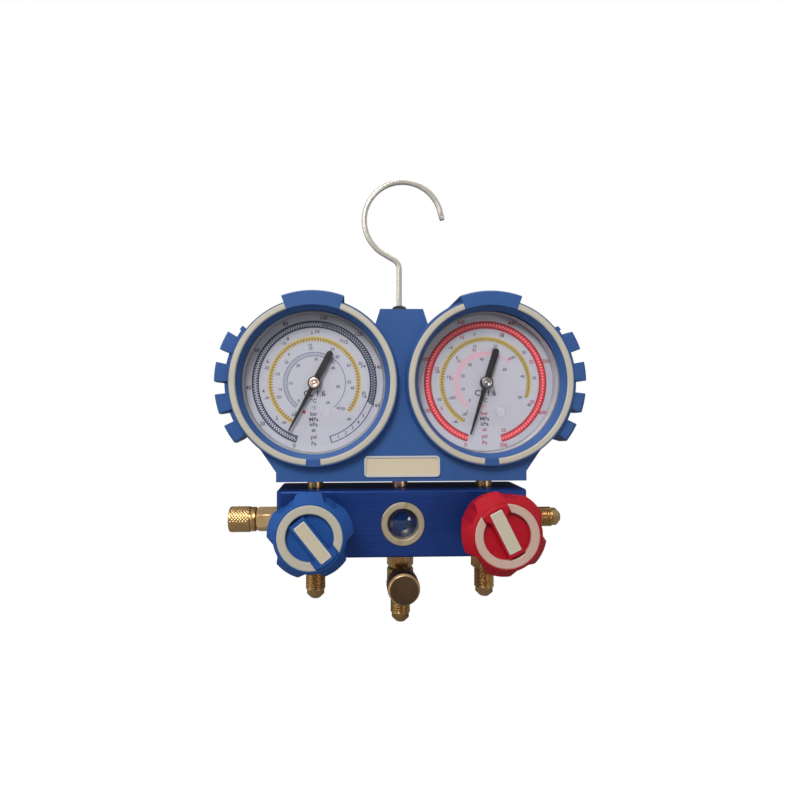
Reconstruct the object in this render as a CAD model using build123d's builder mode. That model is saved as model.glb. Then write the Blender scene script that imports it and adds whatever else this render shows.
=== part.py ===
from build123d import *
import os
from math import atan, cos, pi, radians, sin, sqrt

# Two-valve refrigerant manifold with a low and a high pressure gauge in one moulded casing.
# Millimetres. The origin is the centre of the block's back face, +X right, -Y forward, +Z up.
# A "depth" is a distance forward of the back face, so a point at depth d lies at y = -d.

os.makedirs("parts", exist_ok=True)

# ---- Layout -----------------------------------------------------------------------------
PORT_PITCH = 96.0          # between the gauges, the valves and the outer hose ports
BLOCK_WIDTH = 136.0
BLOCK_DEPTH = 32.0
BLOCK_HEIGHT = 36.0
BLOCK_CORNER = 3.0
BLOCK_EDGE = 0.6
GAUGE_RISE = 58.5          # from the top of the block to the gauge axes
CASING_GAP = 4.5           # between the block and the casing
FIT = 0.3                  # gap round a piece held in a moulding
RUN = 0.05                 # radial running clearance of a shaft or thread in its hole
EDGE = 0.5                 # bevel on turned edges

# ---- Gas passages -----------------------------------------------------------------------
PASSAGE_R = 2.0
CHAMBER_R = 4.5            # valve chamber the piston slides in
SEAT_DEPTH = 12.0          # depth of the valve seat
SEAT_R = 1.7
GALLERY_END = 3.0          # of the cross gallery past each seat
GALLERY_DEPTH = 7.0        # depth of the cross gallery behind the seats
PIPE_THREAD_R = 4.75       # screwed ends of ports, stems and fittings in the block
PIPE_THREAD_L = 7.5

# ---- Flare ports (quarter inch SAE, 7/16-20 thread) ---------------------------------------
THREAD_R = 5.55
THREAD_L = 11.0
THREAD_PITCH = 1.27
NOSE_R = 4.9
NOSE_L = 2.4
TIP_R = 2.7
PORT_BORE_R = 2.0
HEX_ACROSS = 13.0
PORT_HEX_L = 10.0
SIDE_HEX_L = 7.0

# ---- Charging tee and its cap -------------------------------------------------------------
TEE_HEX_L = 9.0
TEE_BRANCH_DROP = 15.5     # from the underside of the block to the branch axis
TEE_HUB_R = 7.5
TEE_NECK_R = 6.4
TEE_SLOPE_L = 1.5
TEE_OUTLET_DROP = 23.8     # from the underside of the block to the lower thread
BRANCH_NECK_L = 8.0
BRANCH_THREAD_L = 9.5
CORE_R = 2.3
CORE_PIN_R = 0.9
CORE_L = 9.0
CORE_RECESS = 0.8          # of the core below the branch tip
CORE_PIN_RECESS = 0.5
CORE_HEAD_T = 1.6
CAP_R = 8.75
CAP_LENGTH = 13.0
CAP_WALL = 1.5
CAP_BEVEL = 1.7
GASKET_T = 0.8
GASKET_GAP = 0.1           # between the branch tip and the gasket

# ---- Left hose adapter ------------------------------------------------------------------
ADAPTER_HEX_ACROSS = 12.0
ADAPTER_HEX_L = 12.6
ADAPTER_STEM_R = 3.5
NUT_R = 7.3
NUT_LENGTH = 15.0
NUT_BORE_R = 4.95
NUT_BACK_L = 3.5
NUT_RELIEF = 0.3           # of the pocket behind the nut's thread
FLANGE_L = 1.6

# ---- Valves -----------------------------------------------------------------------------
BONNET_THREAD_R = 8.0
BONNET_THREAD_L = 8.0
BONNET_HEX_ACROSS = 19.0
BONNET_HEX_L = 4.5
BONNET_NECK_R = 7.0
BONNET_NECK_L = 7.5
BONNET_BARREL = 3.0        # thickness of the threaded end wall above the piston space
STEM_R = 4.0
STEM_TIP_R = 2.0
STEM_TIP_L = 2.9
DRIVE_ACROSS = 5.6
DRIVE_L = 9.0
PISTON_L = 5.0
PISTON_NOSE_R = 2.6
PISTON_NOSE_L = 7.5
SCREW_R = 1.5
SCREW_HEAD_R = 3.0
SCREW_HEAD_SEAT = 1.0      # web of the hub under the screw's head
SCREW_L = 5.0

# ---- Hand-wheels ------------------------------------------------------------------------
WHEEL_BACK = 8.0           # from the block's front face to the skirt
WHEEL_DEPTH = 21.0
WHEEL_ANGLE = {"low": -51.8, "high": 116.7}    # way the ridge points
WHEEL_LOBE_R = 21.4
WHEEL_BACK_R = 18.3
WHEEL_LOBES = 5
LOBE_SHOULDER = 5.5        # from the front face to the foot of the bevel
NOTCH_R = 18.0             # floor of the notches between the lobes
NOTCH_ARC = 20.0           # angle of that floor
NOTCH_MOUTH_R, NOTCH_MOUTH_ARC = 23.0, 44.0
WHEEL_WALL = 2.6
WHEEL_WEB = 3.2
HUB_R = 6.2
HUB_RECESS = 6.0           # from the skirt's end to the hub
BAND_INNER_R = 11.7
BAND_OUTER_R = 15.9
BAND_T = 1.6
BAND_PROUD = 0.3
BAND_BEVEL = 0.4
BAND_BORDER = 0.6          # of the face outside the band
BAND_GAP = 14.0            # break in the band, cut parallel to the ridge
DISH_DEPTH = 2.2
RIDGE_WIDTH = 8.6
RIDGE_TAIL = 10.2
RIDGE_PROUD = 1.0
RIDGE_HEAD_WIDTH = 13.2    # where it crosses the band and runs out over a lobe
RIDGE_FLARE = 9.3, 11.8    # from the axis to the start and end of that widening
RIDGE_SLOPE_R = 14.9       # where its face starts to fall to the lobe's shoulder
BAR_LENGTH = 21.9
BAR_WIDTH = 6.5
BAR_OFFSET = 2.5
BAR_T = 1.6
BAR_PROUD = 0.4
BAR_CORNER = 0.8
INLAY_GAP = 0.1            # all round a plate set in a pocket

# ---- Sight glass --------------------------------------------------------------------------
BEZEL_R = 11.8
BEZEL_BORE_R = 8.3
BEZEL_DEPTH = 5.0
BEZEL_PROUD = 1.0
GLASS_R = 10.2
GLASS_T = 4.5
GLASS_DOME = 2.2
SEAL_T = 1.0
SEAL_WIDTH = 2.2
SIGHT_CAVITY_R = 6.5
SLOT_WIDTH = 1.6
SLOT_DEPTH = 1.2
SLOT_ANGLE = 80.0

# ---- Pressure gauges ----------------------------------------------------------------------
CASE_R = 40.0
CASE_WALL = 1.2
CASE_DEPTH = 24.0
WINDOW_T = 2.0
PLUG_R = 2.7
PLUG_X, PLUG_Z = 6.5, -16.2
DIAL_DEPTH = 20.0
DIAL_T = 0.6
STEM_PIPE_R = 4.5
SOCKET_NECK_R = 3.2
SOCKET_NECK_L = 5.0
SOCKET_TOP = 31.0          # below the gauge axis
SHELF_LEFT, SHELF_RIGHT = -11.5, -3.6  # shelf of the socket beside the tube's root
SHELF_DROP = 2.5
SOCKET_LEFT = -6.0
SOCKET_RISE = 3.0          # of the socket block above the case wall
EAR_ARC = 12.0
EAR_MARGIN = 0.5           # of the ear beyond the tube, front and back
TUBE_R = 27.0
TUBE_WIDTH = 9.0
TUBE_THICK = 3.0
TUBE_DEPTH = 12.0
TUBE_START, TUBE_END = -35.0, 248.0
POINTER_DEPTH = 21.8
POINTER_T = 0.8
POINTER_L = 30.2
POINTER_TIP = 0.8
POINTER_ROOT = 2.6
POINTER_TAIL_L = 20.0
POINTER_TAIL_W = 3.6
POINTER_HUB_R = 3.6
POINTER_HUB_L = 1.8
POINTER_ANGLE = {"low": 241.8, "high": 252.8}

# ---- Gauge movement -----------------------------------------------------------------------
MODULE = 0.3
PINION_TEETH = 10
SECTOR_TEETH = 120         # of the whole wheel that the sector is cut from
SECTOR_FIRST, SECTOR_LAST = -10, 1     # teeth cut, counted from the one on the line of centres
PRESSURE_ANGLE = 20.0
BACKLASH = 0.06
PINION_ADDENDUM = 1.0      # in modules
SECTOR_ADDENDUM = 0.55
ROOT_GAP = 0.1
SECTOR_T = 1.2
PINION_L = 3.5
GEAR_DEPTH = 12.5
ARBOR_R = 0.8
SECTOR_ARBOR_R = 1.0
SECTOR_HUB_R = 2.5
RIM_T = 2.4
SPOKE_WIDTH = 2.0
TAIL_L = 6.0
TAIL_ANGLE = -60.0
LINK_PIN_R = 0.6
LINK_T = 0.6
LINK_EYE_R = 1.3
LINK_GAP = 0.3
SLOT_RIM = 1.1             # of the eye plate round its slot
EYE_PLATE_T = 0.8
EYE_RADIUS = 22.0          # of the Bourdon tip's pivot about the gauge axis
EYE_ANGLE = -35.0
SECTOR_SWING = 27.0
PLATE_T = 1.0
PLATE_FRONT = 16.4         # depth of the front plate's back face
PLATE_BACK = 9.0           # depth of the back plate's front face
PLATE_HALF = 7.0
PLATE_TOP = 5.5
PLATE_NECK = -2.5          # left edge of the plates beside the tube's root
PLATE_STEP = 9.0           # height of that narrow part
PILLAR_R = 1.4
FOOT_X = 2.3
FOOT_LENGTH, FOOT_T = 8.0, 1.6

# ---- Casing -------------------------------------------------------------------------------
CASING_WALL = 2.4
PARTING = 16.0             # depth of the joint between the front and rear shells
BACK_WALL = 2.2
PLATE_FACE = 29.0          # depth of the casing's flat front
COLLAR_FACE = 33.7         # depth of the collars round the dials
COLLAR_R = 46.4            # where a collar stands on the flat front
COLLAR_TAPER = 1.1         # less at its face
LIP_R = 39.0
LIP_BEVEL = 2.3
GLOW_INNER_R = 41.3
GLOW_OUTER_R = 44.8
GLOW_DEPTH = 2.5
GLOW_PROUD = 0.5
GLOW_BEVEL = 0.6
CAP_ARC = 40.0             # top guard of each dial
CAP_OUTER_R = 49.2
CAP_EDGE = 0.8
TAB_ARC = 10.4             # gap in the band under each dial
GRIP_R = 55.3
GRIP_DRAFT = 1.8
GRIP_BEVEL = 1.5
GRIP_FRONT = 31.0
GRIP_REAR = 1.6
GRIP_ARC = 11.3
GRIP_TOP_ANGLE = 25.4
GRIP_PITCH = 19.0
GRIPS = 4
WEB_R = 47.9
NUB_R = 48.9
NUB_ANGLE = 37.4
NUB_ARC = 3.0
BASE_HALF = 68.4
BASE_SIDE = 5.3            # height of the upright ends of the base
FLANK_X, FLANK_Z = 29.6, -35.2         # where the base's slope meets a collar, from its axis
TOP_HALF = 11.7
TOP_RISE = 40.0            # top edge above the gauge axes
TOP_SLOPE_X, TOP_SLOPE_Z = 14.5, 31.3
SHELL_SCREW_R = 1.5
SHELL_SCREW_HEAD_R = 2.9
SHELL_BOSS_R = 4.2
HEAD_L = 2.4
HEAD_RECESS = 0.6
SCREW_END_GAP = 1.5
BACK_DISH_R = 33.0         # shallow round recess behind each gauge
BACK_DISH_DEPTH = 0.6
END_SCREW_X, END_SCREW_Z = 61.3, 6.2   # from the centre line and the casing's underside
MID_SCREW_RISE = 21.5      # of the middle screws above and below the gauge axes
PLAQUE_LENGTH = 41.3
PLAQUE_HEIGHT = 11.5
PLAQUE_CORNER = 2.2
PLAQUE_T = 1.6
PLAQUE_PROUD = 0.8
PLAQUE_RIM = 1.1
PLAQUE_FIELD_DEPTH = 0.4
PLAQUE_RISE = 8.2          # centre of the plaque above the casing's underside
SPACER_R = 4.35
BOLT_R = 2.0
BOLT_HEAD_R = 3.6
BOLT_HEAD_L = 3.0

# ---- Hook ---------------------------------------------------------------------------------
HOOK_WIRE_R = 1.5
HOOK_RADIUS = 22.0
HOOK_SHIFT = 2.2           # of the round of the hook, off the shank's line
HOOK_RISE = 52.7           # of its centre above the casing
HOOK_START, HOOK_END = 240.0, 14.0
HOOK_LEG = 4.9
HOOK_BEND_R = 6.0
HOOK_COLLAR_R = 4.5
HOOK_COLLAR_L = 3.8
HOOK_NUT_R = 3.6
HOOK_NUT_L = 3.0
HOOK_TAIL_L = 4.3          # of the shank below the casing's top wall

# ---- Places worked out from the sizes -------------------------------------------------------
side_x = PORT_PITCH / 2
sides = {"low": -side_x, "high": side_x}
plumb = BLOCK_DEPTH / 2                # depth of ports, gauge stems and hook
block_top = BLOCK_HEIGHT / 2
gauge_z = block_top + GAUGE_RISE
casing_bottom = block_top + CASING_GAP
casing_top = gauge_z + TOP_RISE
case_back = BACK_WALL + FIT
case_front = case_back + CASE_DEPTH
window_front = case_front + WINDOW_T
pocket_r = CASE_R + FIT
pocket_front = window_front + FIT
gauge_centres = [(-side_x, gauge_z), (side_x, gauge_z)]
wheel_back = BLOCK_DEPTH + WHEEL_BACK
wheel_face = wheel_back + WHEEL_DEPTH
dish_face = wheel_face - DISH_DEPTH
hub_back = wheel_back + HUB_RECESS
bonnet_back = BLOCK_DEPTH - BONNET_THREAD_L
bonnet_face = BLOCK_DEPTH + BONNET_HEX_L + BONNET_NECK_L
piston_front = SEAT_DEPTH + PISTON_NOSE_L + PISTON_L
stem_back = piston_front + FIT
drive_start = hub_back - FIT
stem_front = drive_start + DRIVE_L
pinion_r = MODULE * PINION_TEETH / 2
sector_r = MODULE * SECTOR_TEETH / 2
centres = pinion_r + sector_r
tail_point = (
    TAIL_L * cos(radians(TAIL_ANGLE)),
    TAIL_L * sin(radians(TAIL_ANGLE)) - centres,
)
eye_point = (EYE_RADIUS * cos(radians(EYE_ANGLE)), EYE_RADIUS * sin(radians(EYE_ANGLE)))
swung_angle = radians(TAIL_ANGLE + SECTOR_SWING)
tail_shift = (
    TAIL_L * cos(swung_angle) - tail_point[0],
    TAIL_L * sin(swung_angle) - centres - tail_point[1],
)
sector_back = GEAR_DEPTH - SECTOR_T / 2
sector_front = GEAR_DEPTH + SECTOR_T / 2
link_front = sector_back - LINK_GAP
link_back = link_front - LINK_T
hook_centre = (HOOK_SHIFT, casing_top + HOOK_RISE)
shell_screws = [
    (0, gauge_z + MID_SCREW_RISE),
    (0, gauge_z - MID_SCREW_RISE),
    (-END_SCREW_X, casing_bottom + END_SCREW_Z),
    (END_SCREW_X, casing_bottom + END_SCREW_Z),
]


def front(depth):
    """Plane that faces forward at a depth: local x is X and local y is Z."""
    return Plane.XZ.offset(depth)


def facing(centre, depth, angle=0):
    """Forward-facing plane with its origin on a gauge or valve axis, turned by an angle."""
    return Plane(
        origin=(centre[0], -depth, centre[1]),
        x_dir=(cos(radians(angle)), 0, sin(radians(angle))),
        z_dir=(0, -1, 0),
    )


def turn(profile, centre, start=0, arc=360, mode=Mode.ADD):
    """Turns (radius, depth) points about the front-to-back axis through a centre."""
    across = (cos(radians(start)), 0, sin(radians(start)))
    normal = (sin(radians(start)), 0, -cos(radians(start)))
    plane = Plane(origin=(centre[0], 0, centre[1]), x_dir=across, z_dir=normal)
    with BuildSketch(plane) as section:
        Polygon(*profile)
    axis = Axis((centre[0], 0, centre[1]), (0, -1, 0))
    revolve(section.sketch, axis=axis, revolution_arc=arc, mode=mode)


def turn_along(profile, start, direction, mode=Mode.ADD):
    """Turns (radius, distance) points about the line from start along a direction."""
    across = (0, -1, 0) if abs(direction[1]) < 0.5 else (1, 0, 0)
    normal = Vector(*across).cross(Vector(*direction))
    with BuildSketch(Plane(origin=start, x_dir=across, z_dir=normal)) as section:
        Polygon(*profile)
    revolve(section.sketch, axis=Axis(start, direction), mode=mode)


def ring(inner, outer, start, end):
    """Outline of a plain ring or, with no inner radius, of a plain disc."""
    return [(inner, start), (outer, start), (outer, end), (inner, end)]


def flare(base, length=THREAD_L):
    """Outline of a male flare from a distance along its axis: thread, neck and 45 degree nose."""
    thread_end = base + length
    neck_start = thread_end + THREAD_R - NOSE_R
    nose = neck_start + NOSE_L
    tip = nose + NOSE_R - TIP_R
    return [
        (PORT_BORE_R, base), (THREAD_R, base), (THREAD_R, thread_end), (NOSE_R, neck_start),
        (NOSE_R, nose), (TIP_R, tip), (PORT_BORE_R, tip),
    ]


flare_end = THREAD_L + THREAD_R - NOSE_R + NOSE_L + NOSE_R - TIP_R


def involute(base, radius):
    """Involute function of the pressure angle that a flank has at a radius."""
    slope = sqrt(max((radius / base) ** 2 - 1, 0))
    return slope - atan(slope)


def tooth(teeth, root, tip, centre_angle, backlash=BACKLASH):
    """One gear tooth as (x, y) points, from root to tip and back, about the gear's centre."""
    pitch = MODULE * teeth / 2
    base = pitch * cos(radians(PRESSURE_ANGLE))
    half = pi / (2 * teeth) - backlash / (2 * pitch) + involute(base, pitch)
    steps = 4
    radii = [root + (tip - root) * i / steps for i in range(steps + 1)]
    angles = [half - involute(base, max(radius, base)) for radius in radii]
    right = [(r, centre_angle - a) for r, a in zip(radii, angles)]
    left = [(r, centre_angle + a) for r, a in zip(reversed(radii), reversed(angles))]
    return [(r * cos(a), r * sin(a)) for r, a in right + left]


def casing_sketch(inset=0.0):
    """Outline of both casing shells: two collars joined by a base, a web and a top tab."""
    with BuildSketch() as outline:
        corners = [
            (-BASE_HALF + inset, casing_bottom + inset),
            (BASE_HALF - inset, casing_bottom + inset),
            (BASE_HALF - inset, casing_bottom + BASE_SIDE),
            (side_x + FLANK_X - inset, gauge_z + FLANK_Z + inset),
            (side_x, gauge_z),
            (TOP_SLOPE_X, gauge_z + TOP_SLOPE_Z - inset),
            (TOP_HALF, casing_top - inset),
            (-TOP_HALF, casing_top - inset),
            (-TOP_SLOPE_X, gauge_z + TOP_SLOPE_Z - inset),
            (-side_x, gauge_z),
            (-side_x - FLANK_X + inset, gauge_z + FLANK_Z + inset),
            (-BASE_HALF + inset, casing_bottom + BASE_SIDE),
        ]
        Polygon(*corners)
        with Locations((-side_x, gauge_z), (side_x, gauge_z)):
            Circle(COLLAR_R - inset)
    return outline.sketch


def flank_block(profile, angle, arc):
    """The same block on the outer flank of both collars, centred on an angle above level."""
    turn(profile, (side_x, gauge_z), angle - arc / 2, arc)
    turn(profile, (-side_x, gauge_z), 180 - angle - arc / 2, arc)


def grips(parting, face, bevel_face):
    """Finger grips, their web and the nub above them, between the parting and a face."""
    foot = COLLAR_R - 1.0
    block = [
        (foot, parting), (GRIP_R, parting), (GRIP_R - GRIP_DRAFT, bevel_face),
        (GRIP_R - GRIP_DRAFT - GRIP_BEVEL, face), (foot, face),
    ]
    for i in range(GRIPS):
        flank_block(block, GRIP_TOP_ANGLE - i * GRIP_PITCH, GRIP_ARC)
    web_top, web_bottom = NUB_ANGLE, GRIP_TOP_ANGLE - (GRIPS - 1) * GRIP_PITCH
    web = [(foot, parting), (WEB_R, parting), (WEB_R, bevel_face), (foot, bevel_face)]
    flank_block(web, (web_top + web_bottom) / 2, web_top - web_bottom)
    nub = [(foot, parting), (NUB_R, parting), (NUB_R, bevel_face), (foot, bevel_face)]
    flank_block(nub, NUB_ANGLE, NUB_ARC)


def shell_openings():
    """Round ways for the gauge stems, the middle bolt and the hook's shank on the parting."""
    for x in sides.values():
        turn_along(ring(0, STEM_PIPE_R + FIT, -1, CASING_WALL + TOP_RISE), (x, -plumb, casing_bottom),
                   (0, 0, 1), mode=Mode.SUBTRACT)
    turn_along(ring(0, BOLT_R + FIT, -1, CASING_WALL + 1), (0, -plumb, casing_bottom), (0, 0, 1),
               mode=Mode.SUBTRACT)
    turn_along(ring(0, HOOK_WIRE_R + RUN, -1, CASING_WALL + 1), (0, -plumb, casing_top), (0, 0, -1),
               mode=Mode.SUBTRACT)


# ---- Manifold block -------------------------------------------------------------------------
with BuildPart() as manifold_block:
    with BuildSketch(front(0)):
        Rectangle(BLOCK_WIDTH, BLOCK_HEIGHT)
    extrude(amount=BLOCK_DEPTH)
    fillet(manifold_block.edges().filter_by(Axis.Z), BLOCK_CORNER)
    chamfer(manifold_block.faces().filter_by(Axis.Z).edges(), BLOCK_EDGE)
    for x in sides.values():
        # Valve: screwed mouth, piston chamber and seat, open to the gallery behind
        valve = (x, 0)
        turn(ring(0, BONNET_THREAD_R + RUN, bonnet_back, BLOCK_DEPTH), valve, mode=Mode.SUBTRACT)
        turn(ring(0, CHAMBER_R, SEAT_DEPTH, bonnet_back), valve, mode=Mode.SUBTRACT)
        turn(ring(0, SEAT_R, GALLERY_DEPTH, SEAT_DEPTH), valve, mode=Mode.SUBTRACT)
        # Hose port below, gauge above and end port beside the chamber
        for end, direction in (((x, -plumb, -block_top), (0, 0, 1)), ((x, -plumb, block_top), (0, 0, -1))):
            turn_along(ring(0, PIPE_THREAD_R + RUN, 0, PIPE_THREAD_L), end, direction, mode=Mode.SUBTRACT)
            turn_along(ring(0, PASSAGE_R, 0, block_top), end, direction, mode=Mode.SUBTRACT)
        inward = -1 if x > 0 else 1
        side_face = (-inward * BLOCK_WIDTH / 2, -plumb, 0)
        turn_along(ring(0, PIPE_THREAD_R + RUN, 0, PIPE_THREAD_L), side_face, (inward, 0, 0),
                   mode=Mode.SUBTRACT)
        turn_along(ring(0, PASSAGE_R, 0, BLOCK_WIDTH / 2 - side_x), side_face, (inward, 0, 0),
                   mode=Mode.SUBTRACT)
    # Gallery between the seats, sight-glass cavity, charging port and casing bolt
    turn_along(ring(0, PASSAGE_R, -GALLERY_END, PORT_PITCH + GALLERY_END), (-side_x, -GALLERY_DEPTH, 0),
               (1, 0, 0), mode=Mode.SUBTRACT)
    bezel_seat = BLOCK_DEPTH - BEZEL_DEPTH
    glass_seat = bezel_seat - GLASS_T - SEAL_T
    turn(ring(0, BEZEL_R + RUN, bezel_seat, BLOCK_DEPTH), (0, 0), mode=Mode.SUBTRACT)
    turn(ring(0, GLASS_R + RUN, glass_seat, bezel_seat), (0, 0), mode=Mode.SUBTRACT)
    turn(ring(0, SIGHT_CAVITY_R, GALLERY_DEPTH, glass_seat), (0, 0), mode=Mode.SUBTRACT)
    turn_along(ring(0, PIPE_THREAD_R + RUN, 0, PIPE_THREAD_L), (0, -plumb, -block_top), (0, 0, 1),
               mode=Mode.SUBTRACT)
    turn_along(ring(0, PASSAGE_R, 0, block_top), (0, -plumb, -block_top), (0, 0, 1), mode=Mode.SUBTRACT)
    turn_along(ring(0, BOLT_R + RUN, 0, PIPE_THREAD_L), (0, -plumb, block_top), (0, 0, -1),
               mode=Mode.SUBTRACT)
manifold_block.part.label = "manifold_block"
export_step(manifold_block.part, "parts/manifold_block.step")

# ---- Outer hose ports -------------------------------------------------------------------------
for name, x in sides.items():
    with BuildPart() as port_fitting:
        turn_along(ring(PORT_BORE_R, PIPE_THREAD_R, -PIPE_THREAD_L, 0), (x, -plumb, -block_top),
                   (0, 0, -1))
        with BuildSketch(Plane((x, -plumb, -block_top), z_dir=(0, 0, -1))):
            RegularPolygon(HEX_ACROSS / 2, 6, major_radius=False)
            Circle(PORT_BORE_R, mode=Mode.SUBTRACT)
        extrude(amount=PORT_HEX_L)
        turn_along(flare(PORT_HEX_L), (x, -plumb, -block_top), (0, 0, -1))
    port_fitting.part.label = f"{name}_port_fitting"
    export_step(port_fitting.part, f"parts/{port_fitting.part.label}.step")

# ---- End port on the high side ------------------------------------------------------------------
side_face = (BLOCK_WIDTH / 2, -plumb, 0)
with BuildPart() as side_port_fitting:
    turn_along(ring(PORT_BORE_R, PIPE_THREAD_R, -PIPE_THREAD_L, 0), side_face, (1, 0, 0))
    with BuildSketch(Plane(side_face, z_dir=(1, 0, 0))):
        RegularPolygon(HEX_ACROSS / 2, 6, major_radius=False)
        Circle(PORT_BORE_R, mode=Mode.SUBTRACT)
    extrude(amount=SIDE_HEX_L)
    turn_along(flare(SIDE_HEX_L), side_face, (1, 0, 0))
side_port_fitting.part.label = "side_port_fitting"
export_step(side_port_fitting.part, "parts/side_port_fitting.step")

# ---- Charging tee: hose port below, capped service branch in front ---------------------------------
tee_top = (0, -plumb, -block_top)
branch_z = -block_top - TEE_BRANCH_DROP
branch_start = plumb + BRANCH_NECK_L
branch_tip = branch_start + BRANCH_THREAD_L + THREAD_R - TIP_R
hub_bottom = TEE_OUTLET_DROP - TEE_SLOPE_L
with BuildPart() as charging_tee:
    turn_along(ring(PORT_BORE_R, PIPE_THREAD_R, -PIPE_THREAD_L, 0), tee_top, (0, 0, -1))
    with BuildSketch(Plane(tee_top, z_dir=(0, 0, -1))):
        RegularPolygon(HEX_ACROSS / 2, 6, major_radius=False)
        Circle(PORT_BORE_R, mode=Mode.SUBTRACT)
    extrude(amount=TEE_HEX_L)
    hub = [
        (PORT_BORE_R, TEE_HEX_L), (TEE_NECK_R, TEE_HEX_L), (TEE_HUB_R, TEE_HEX_L + TEE_SLOPE_L),
        (TEE_HUB_R, hub_bottom), (TEE_NECK_R, TEE_OUTLET_DROP), (PORT_BORE_R, TEE_OUTLET_DROP),
    ]
    turn_along(hub, tee_top, (0, 0, -1))
    turn_along(flare(TEE_OUTLET_DROP), tee_top, (0, 0, -1))
    branch = [
        (0, plumb), (TEE_NECK_R, plumb), (TEE_NECK_R, branch_start), (THREAD_R, branch_start),
        (THREAD_R, branch_start + BRANCH_THREAD_L), (TIP_R, branch_tip), (0, branch_tip),
    ]
    turn(branch, (0, branch_z))
    turn_along(ring(0, PORT_BORE_R, -PIPE_THREAD_L, TEE_OUTLET_DROP + flare_end), tee_top, (0, 0, -1),
               mode=Mode.SUBTRACT)
    turn(ring(0, PORT_BORE_R, plumb, branch_tip), (0, branch_z), mode=Mode.SUBTRACT)
    turn(ring(0, CORE_R + RUN, branch_tip - CORE_L, branch_tip), (0, branch_z), mode=Mode.SUBTRACT)
charging_tee.part.label = "charging_tee"
export_step(charging_tee.part, "parts/charging_tee.step")

core_back = branch_tip - CORE_L
with BuildPart() as valve_core_body:
    turn(ring(CORE_PIN_R + RUN, CORE_R, core_back, branch_tip - CORE_RECESS), (0, branch_z))
valve_core_body.part.label = "valve_core_body"
export_step(valve_core_body.part, "parts/valve_core_body.step")

with BuildPart() as valve_core_pin:
    head_front = core_back - RUN
    turn(ring(0, CORE_PIN_R, head_front - CORE_HEAD_T, branch_tip - CORE_PIN_RECESS), (0, branch_z))
    turn(ring(0, PORT_BORE_R - FIT, head_front - CORE_HEAD_T, head_front), (0, branch_z))
valve_core_pin.part.label = "valve_core_pin"
export_step(valve_core_pin.part, "parts/valve_core_pin.step")

# ---- Cap of the service branch, with its gasket ------------------------------------------------------
gasket_back = branch_tip + GASKET_GAP
cap_floor = gasket_back + GASKET_T + RUN
cap_face = cap_floor + CAP_WALL
cap_back = cap_face - CAP_LENGTH
with BuildPart() as port_cap:
    cap_outline = [
        (THREAD_R + RUN, cap_back), (CAP_R - EDGE, cap_back), (CAP_R, cap_back + EDGE),
        (CAP_R, cap_face - CAP_BEVEL), (CAP_R - CAP_BEVEL, cap_face), (0, cap_face), (0, cap_floor),
        (THREAD_R + RUN, cap_floor),
    ]
    turn(cap_outline, (0, branch_z))
port_cap.part.label = "port_cap"
export_step(port_cap.part, "parts/port_cap.step")

with BuildPart() as port_cap_gasket:
    turn(ring(0, THREAD_R - FIT, gasket_back, gasket_back + GASKET_T), (0, branch_z))
port_cap_gasket.part.label = "port_cap_gasket"
export_step(port_cap_gasket.part, "parts/port_cap_gasket.step")

# ---- Hose adapter and its swivel nut on the low side ---------------------------------------------------
adapter_face = (-BLOCK_WIDTH / 2, -plumb, 0)
nut_start = ADAPTER_HEX_L + FIT
nut_end = nut_start + NUT_LENGTH
flange_start = nut_start + NUT_BACK_L + FIT
relief_end = flange_start + FLANGE_L + FIT
with BuildPart() as side_adapter:
    turn_along(ring(PORT_BORE_R, PIPE_THREAD_R, -PIPE_THREAD_L, 0), adapter_face, (-1, 0, 0))
    with BuildSketch(Plane(adapter_face, z_dir=(-1, 0, 0))):
        RegularPolygon(ADAPTER_HEX_ACROSS / 2, 6, major_radius=False)
        Circle(PORT_BORE_R, mode=Mode.SUBTRACT)
    extrude(amount=ADAPTER_HEX_L)
    spigot = [
        (PORT_BORE_R, ADAPTER_HEX_L), (ADAPTER_STEM_R, ADAPTER_HEX_L),
        (ADAPTER_STEM_R, flange_start), (NUT_BORE_R - RUN, flange_start),
        (NUT_BORE_R - RUN, flange_start + FLANGE_L), (PORT_BORE_R + EDGE, flange_start + FLANGE_L),
        (PORT_BORE_R, flange_start + FLANGE_L - EDGE),
    ]
    turn_along(spigot, adapter_face, (-1, 0, 0))
side_adapter.part.label = "side_adapter"
export_step(side_adapter.part, "parts/side_adapter.step")

with BuildPart() as swivel_nut:
    sleeve = [
        (ADAPTER_STEM_R + RUN, nut_start), (NUT_R - EDGE, nut_start), (NUT_R, nut_start + EDGE),
        (NUT_R, nut_end - EDGE), (NUT_R - EDGE, nut_end), (NUT_BORE_R, nut_end),
        (NUT_BORE_R, relief_end), (NUT_BORE_R + NUT_RELIEF, relief_end),
        (NUT_BORE_R + NUT_RELIEF, nut_start + NUT_BACK_L), (ADAPTER_STEM_R + RUN, nut_start + NUT_BACK_L),
    ]
    turn_along(sleeve, adapter_face, (-1, 0, 0))
swivel_nut.part.label = "swivel_nut"
export_step(swivel_nut.part, "parts/swivel_nut.step")

# ---- Sight glass ------------------------------------------------------------------------------------------
with BuildPart() as sight_glass_bezel:
    bezel_front = BLOCK_DEPTH + BEZEL_PROUD
    bezel = [
        (BEZEL_BORE_R, bezel_seat), (BEZEL_R, bezel_seat), (BEZEL_R, bezel_front - EDGE),
        (BEZEL_R - EDGE, bezel_front), (BEZEL_BORE_R + EDGE, bezel_front),
        (BEZEL_BORE_R, bezel_front - EDGE),
    ]
    turn(bezel, (0, 0))
    with BuildSketch(facing((0, 0), bezel_front, SLOT_ANGLE)):
        Rectangle(3 * BEZEL_R, SLOT_WIDTH)
        Circle(BEZEL_BORE_R - EDGE, mode=Mode.SUBTRACT)
    extrude(amount=-SLOT_DEPTH, mode=Mode.SUBTRACT)
sight_glass_bezel.part.label = "sight_glass_bezel"
export_step(sight_glass_bezel.part, "parts/sight_glass_bezel.step")

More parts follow.
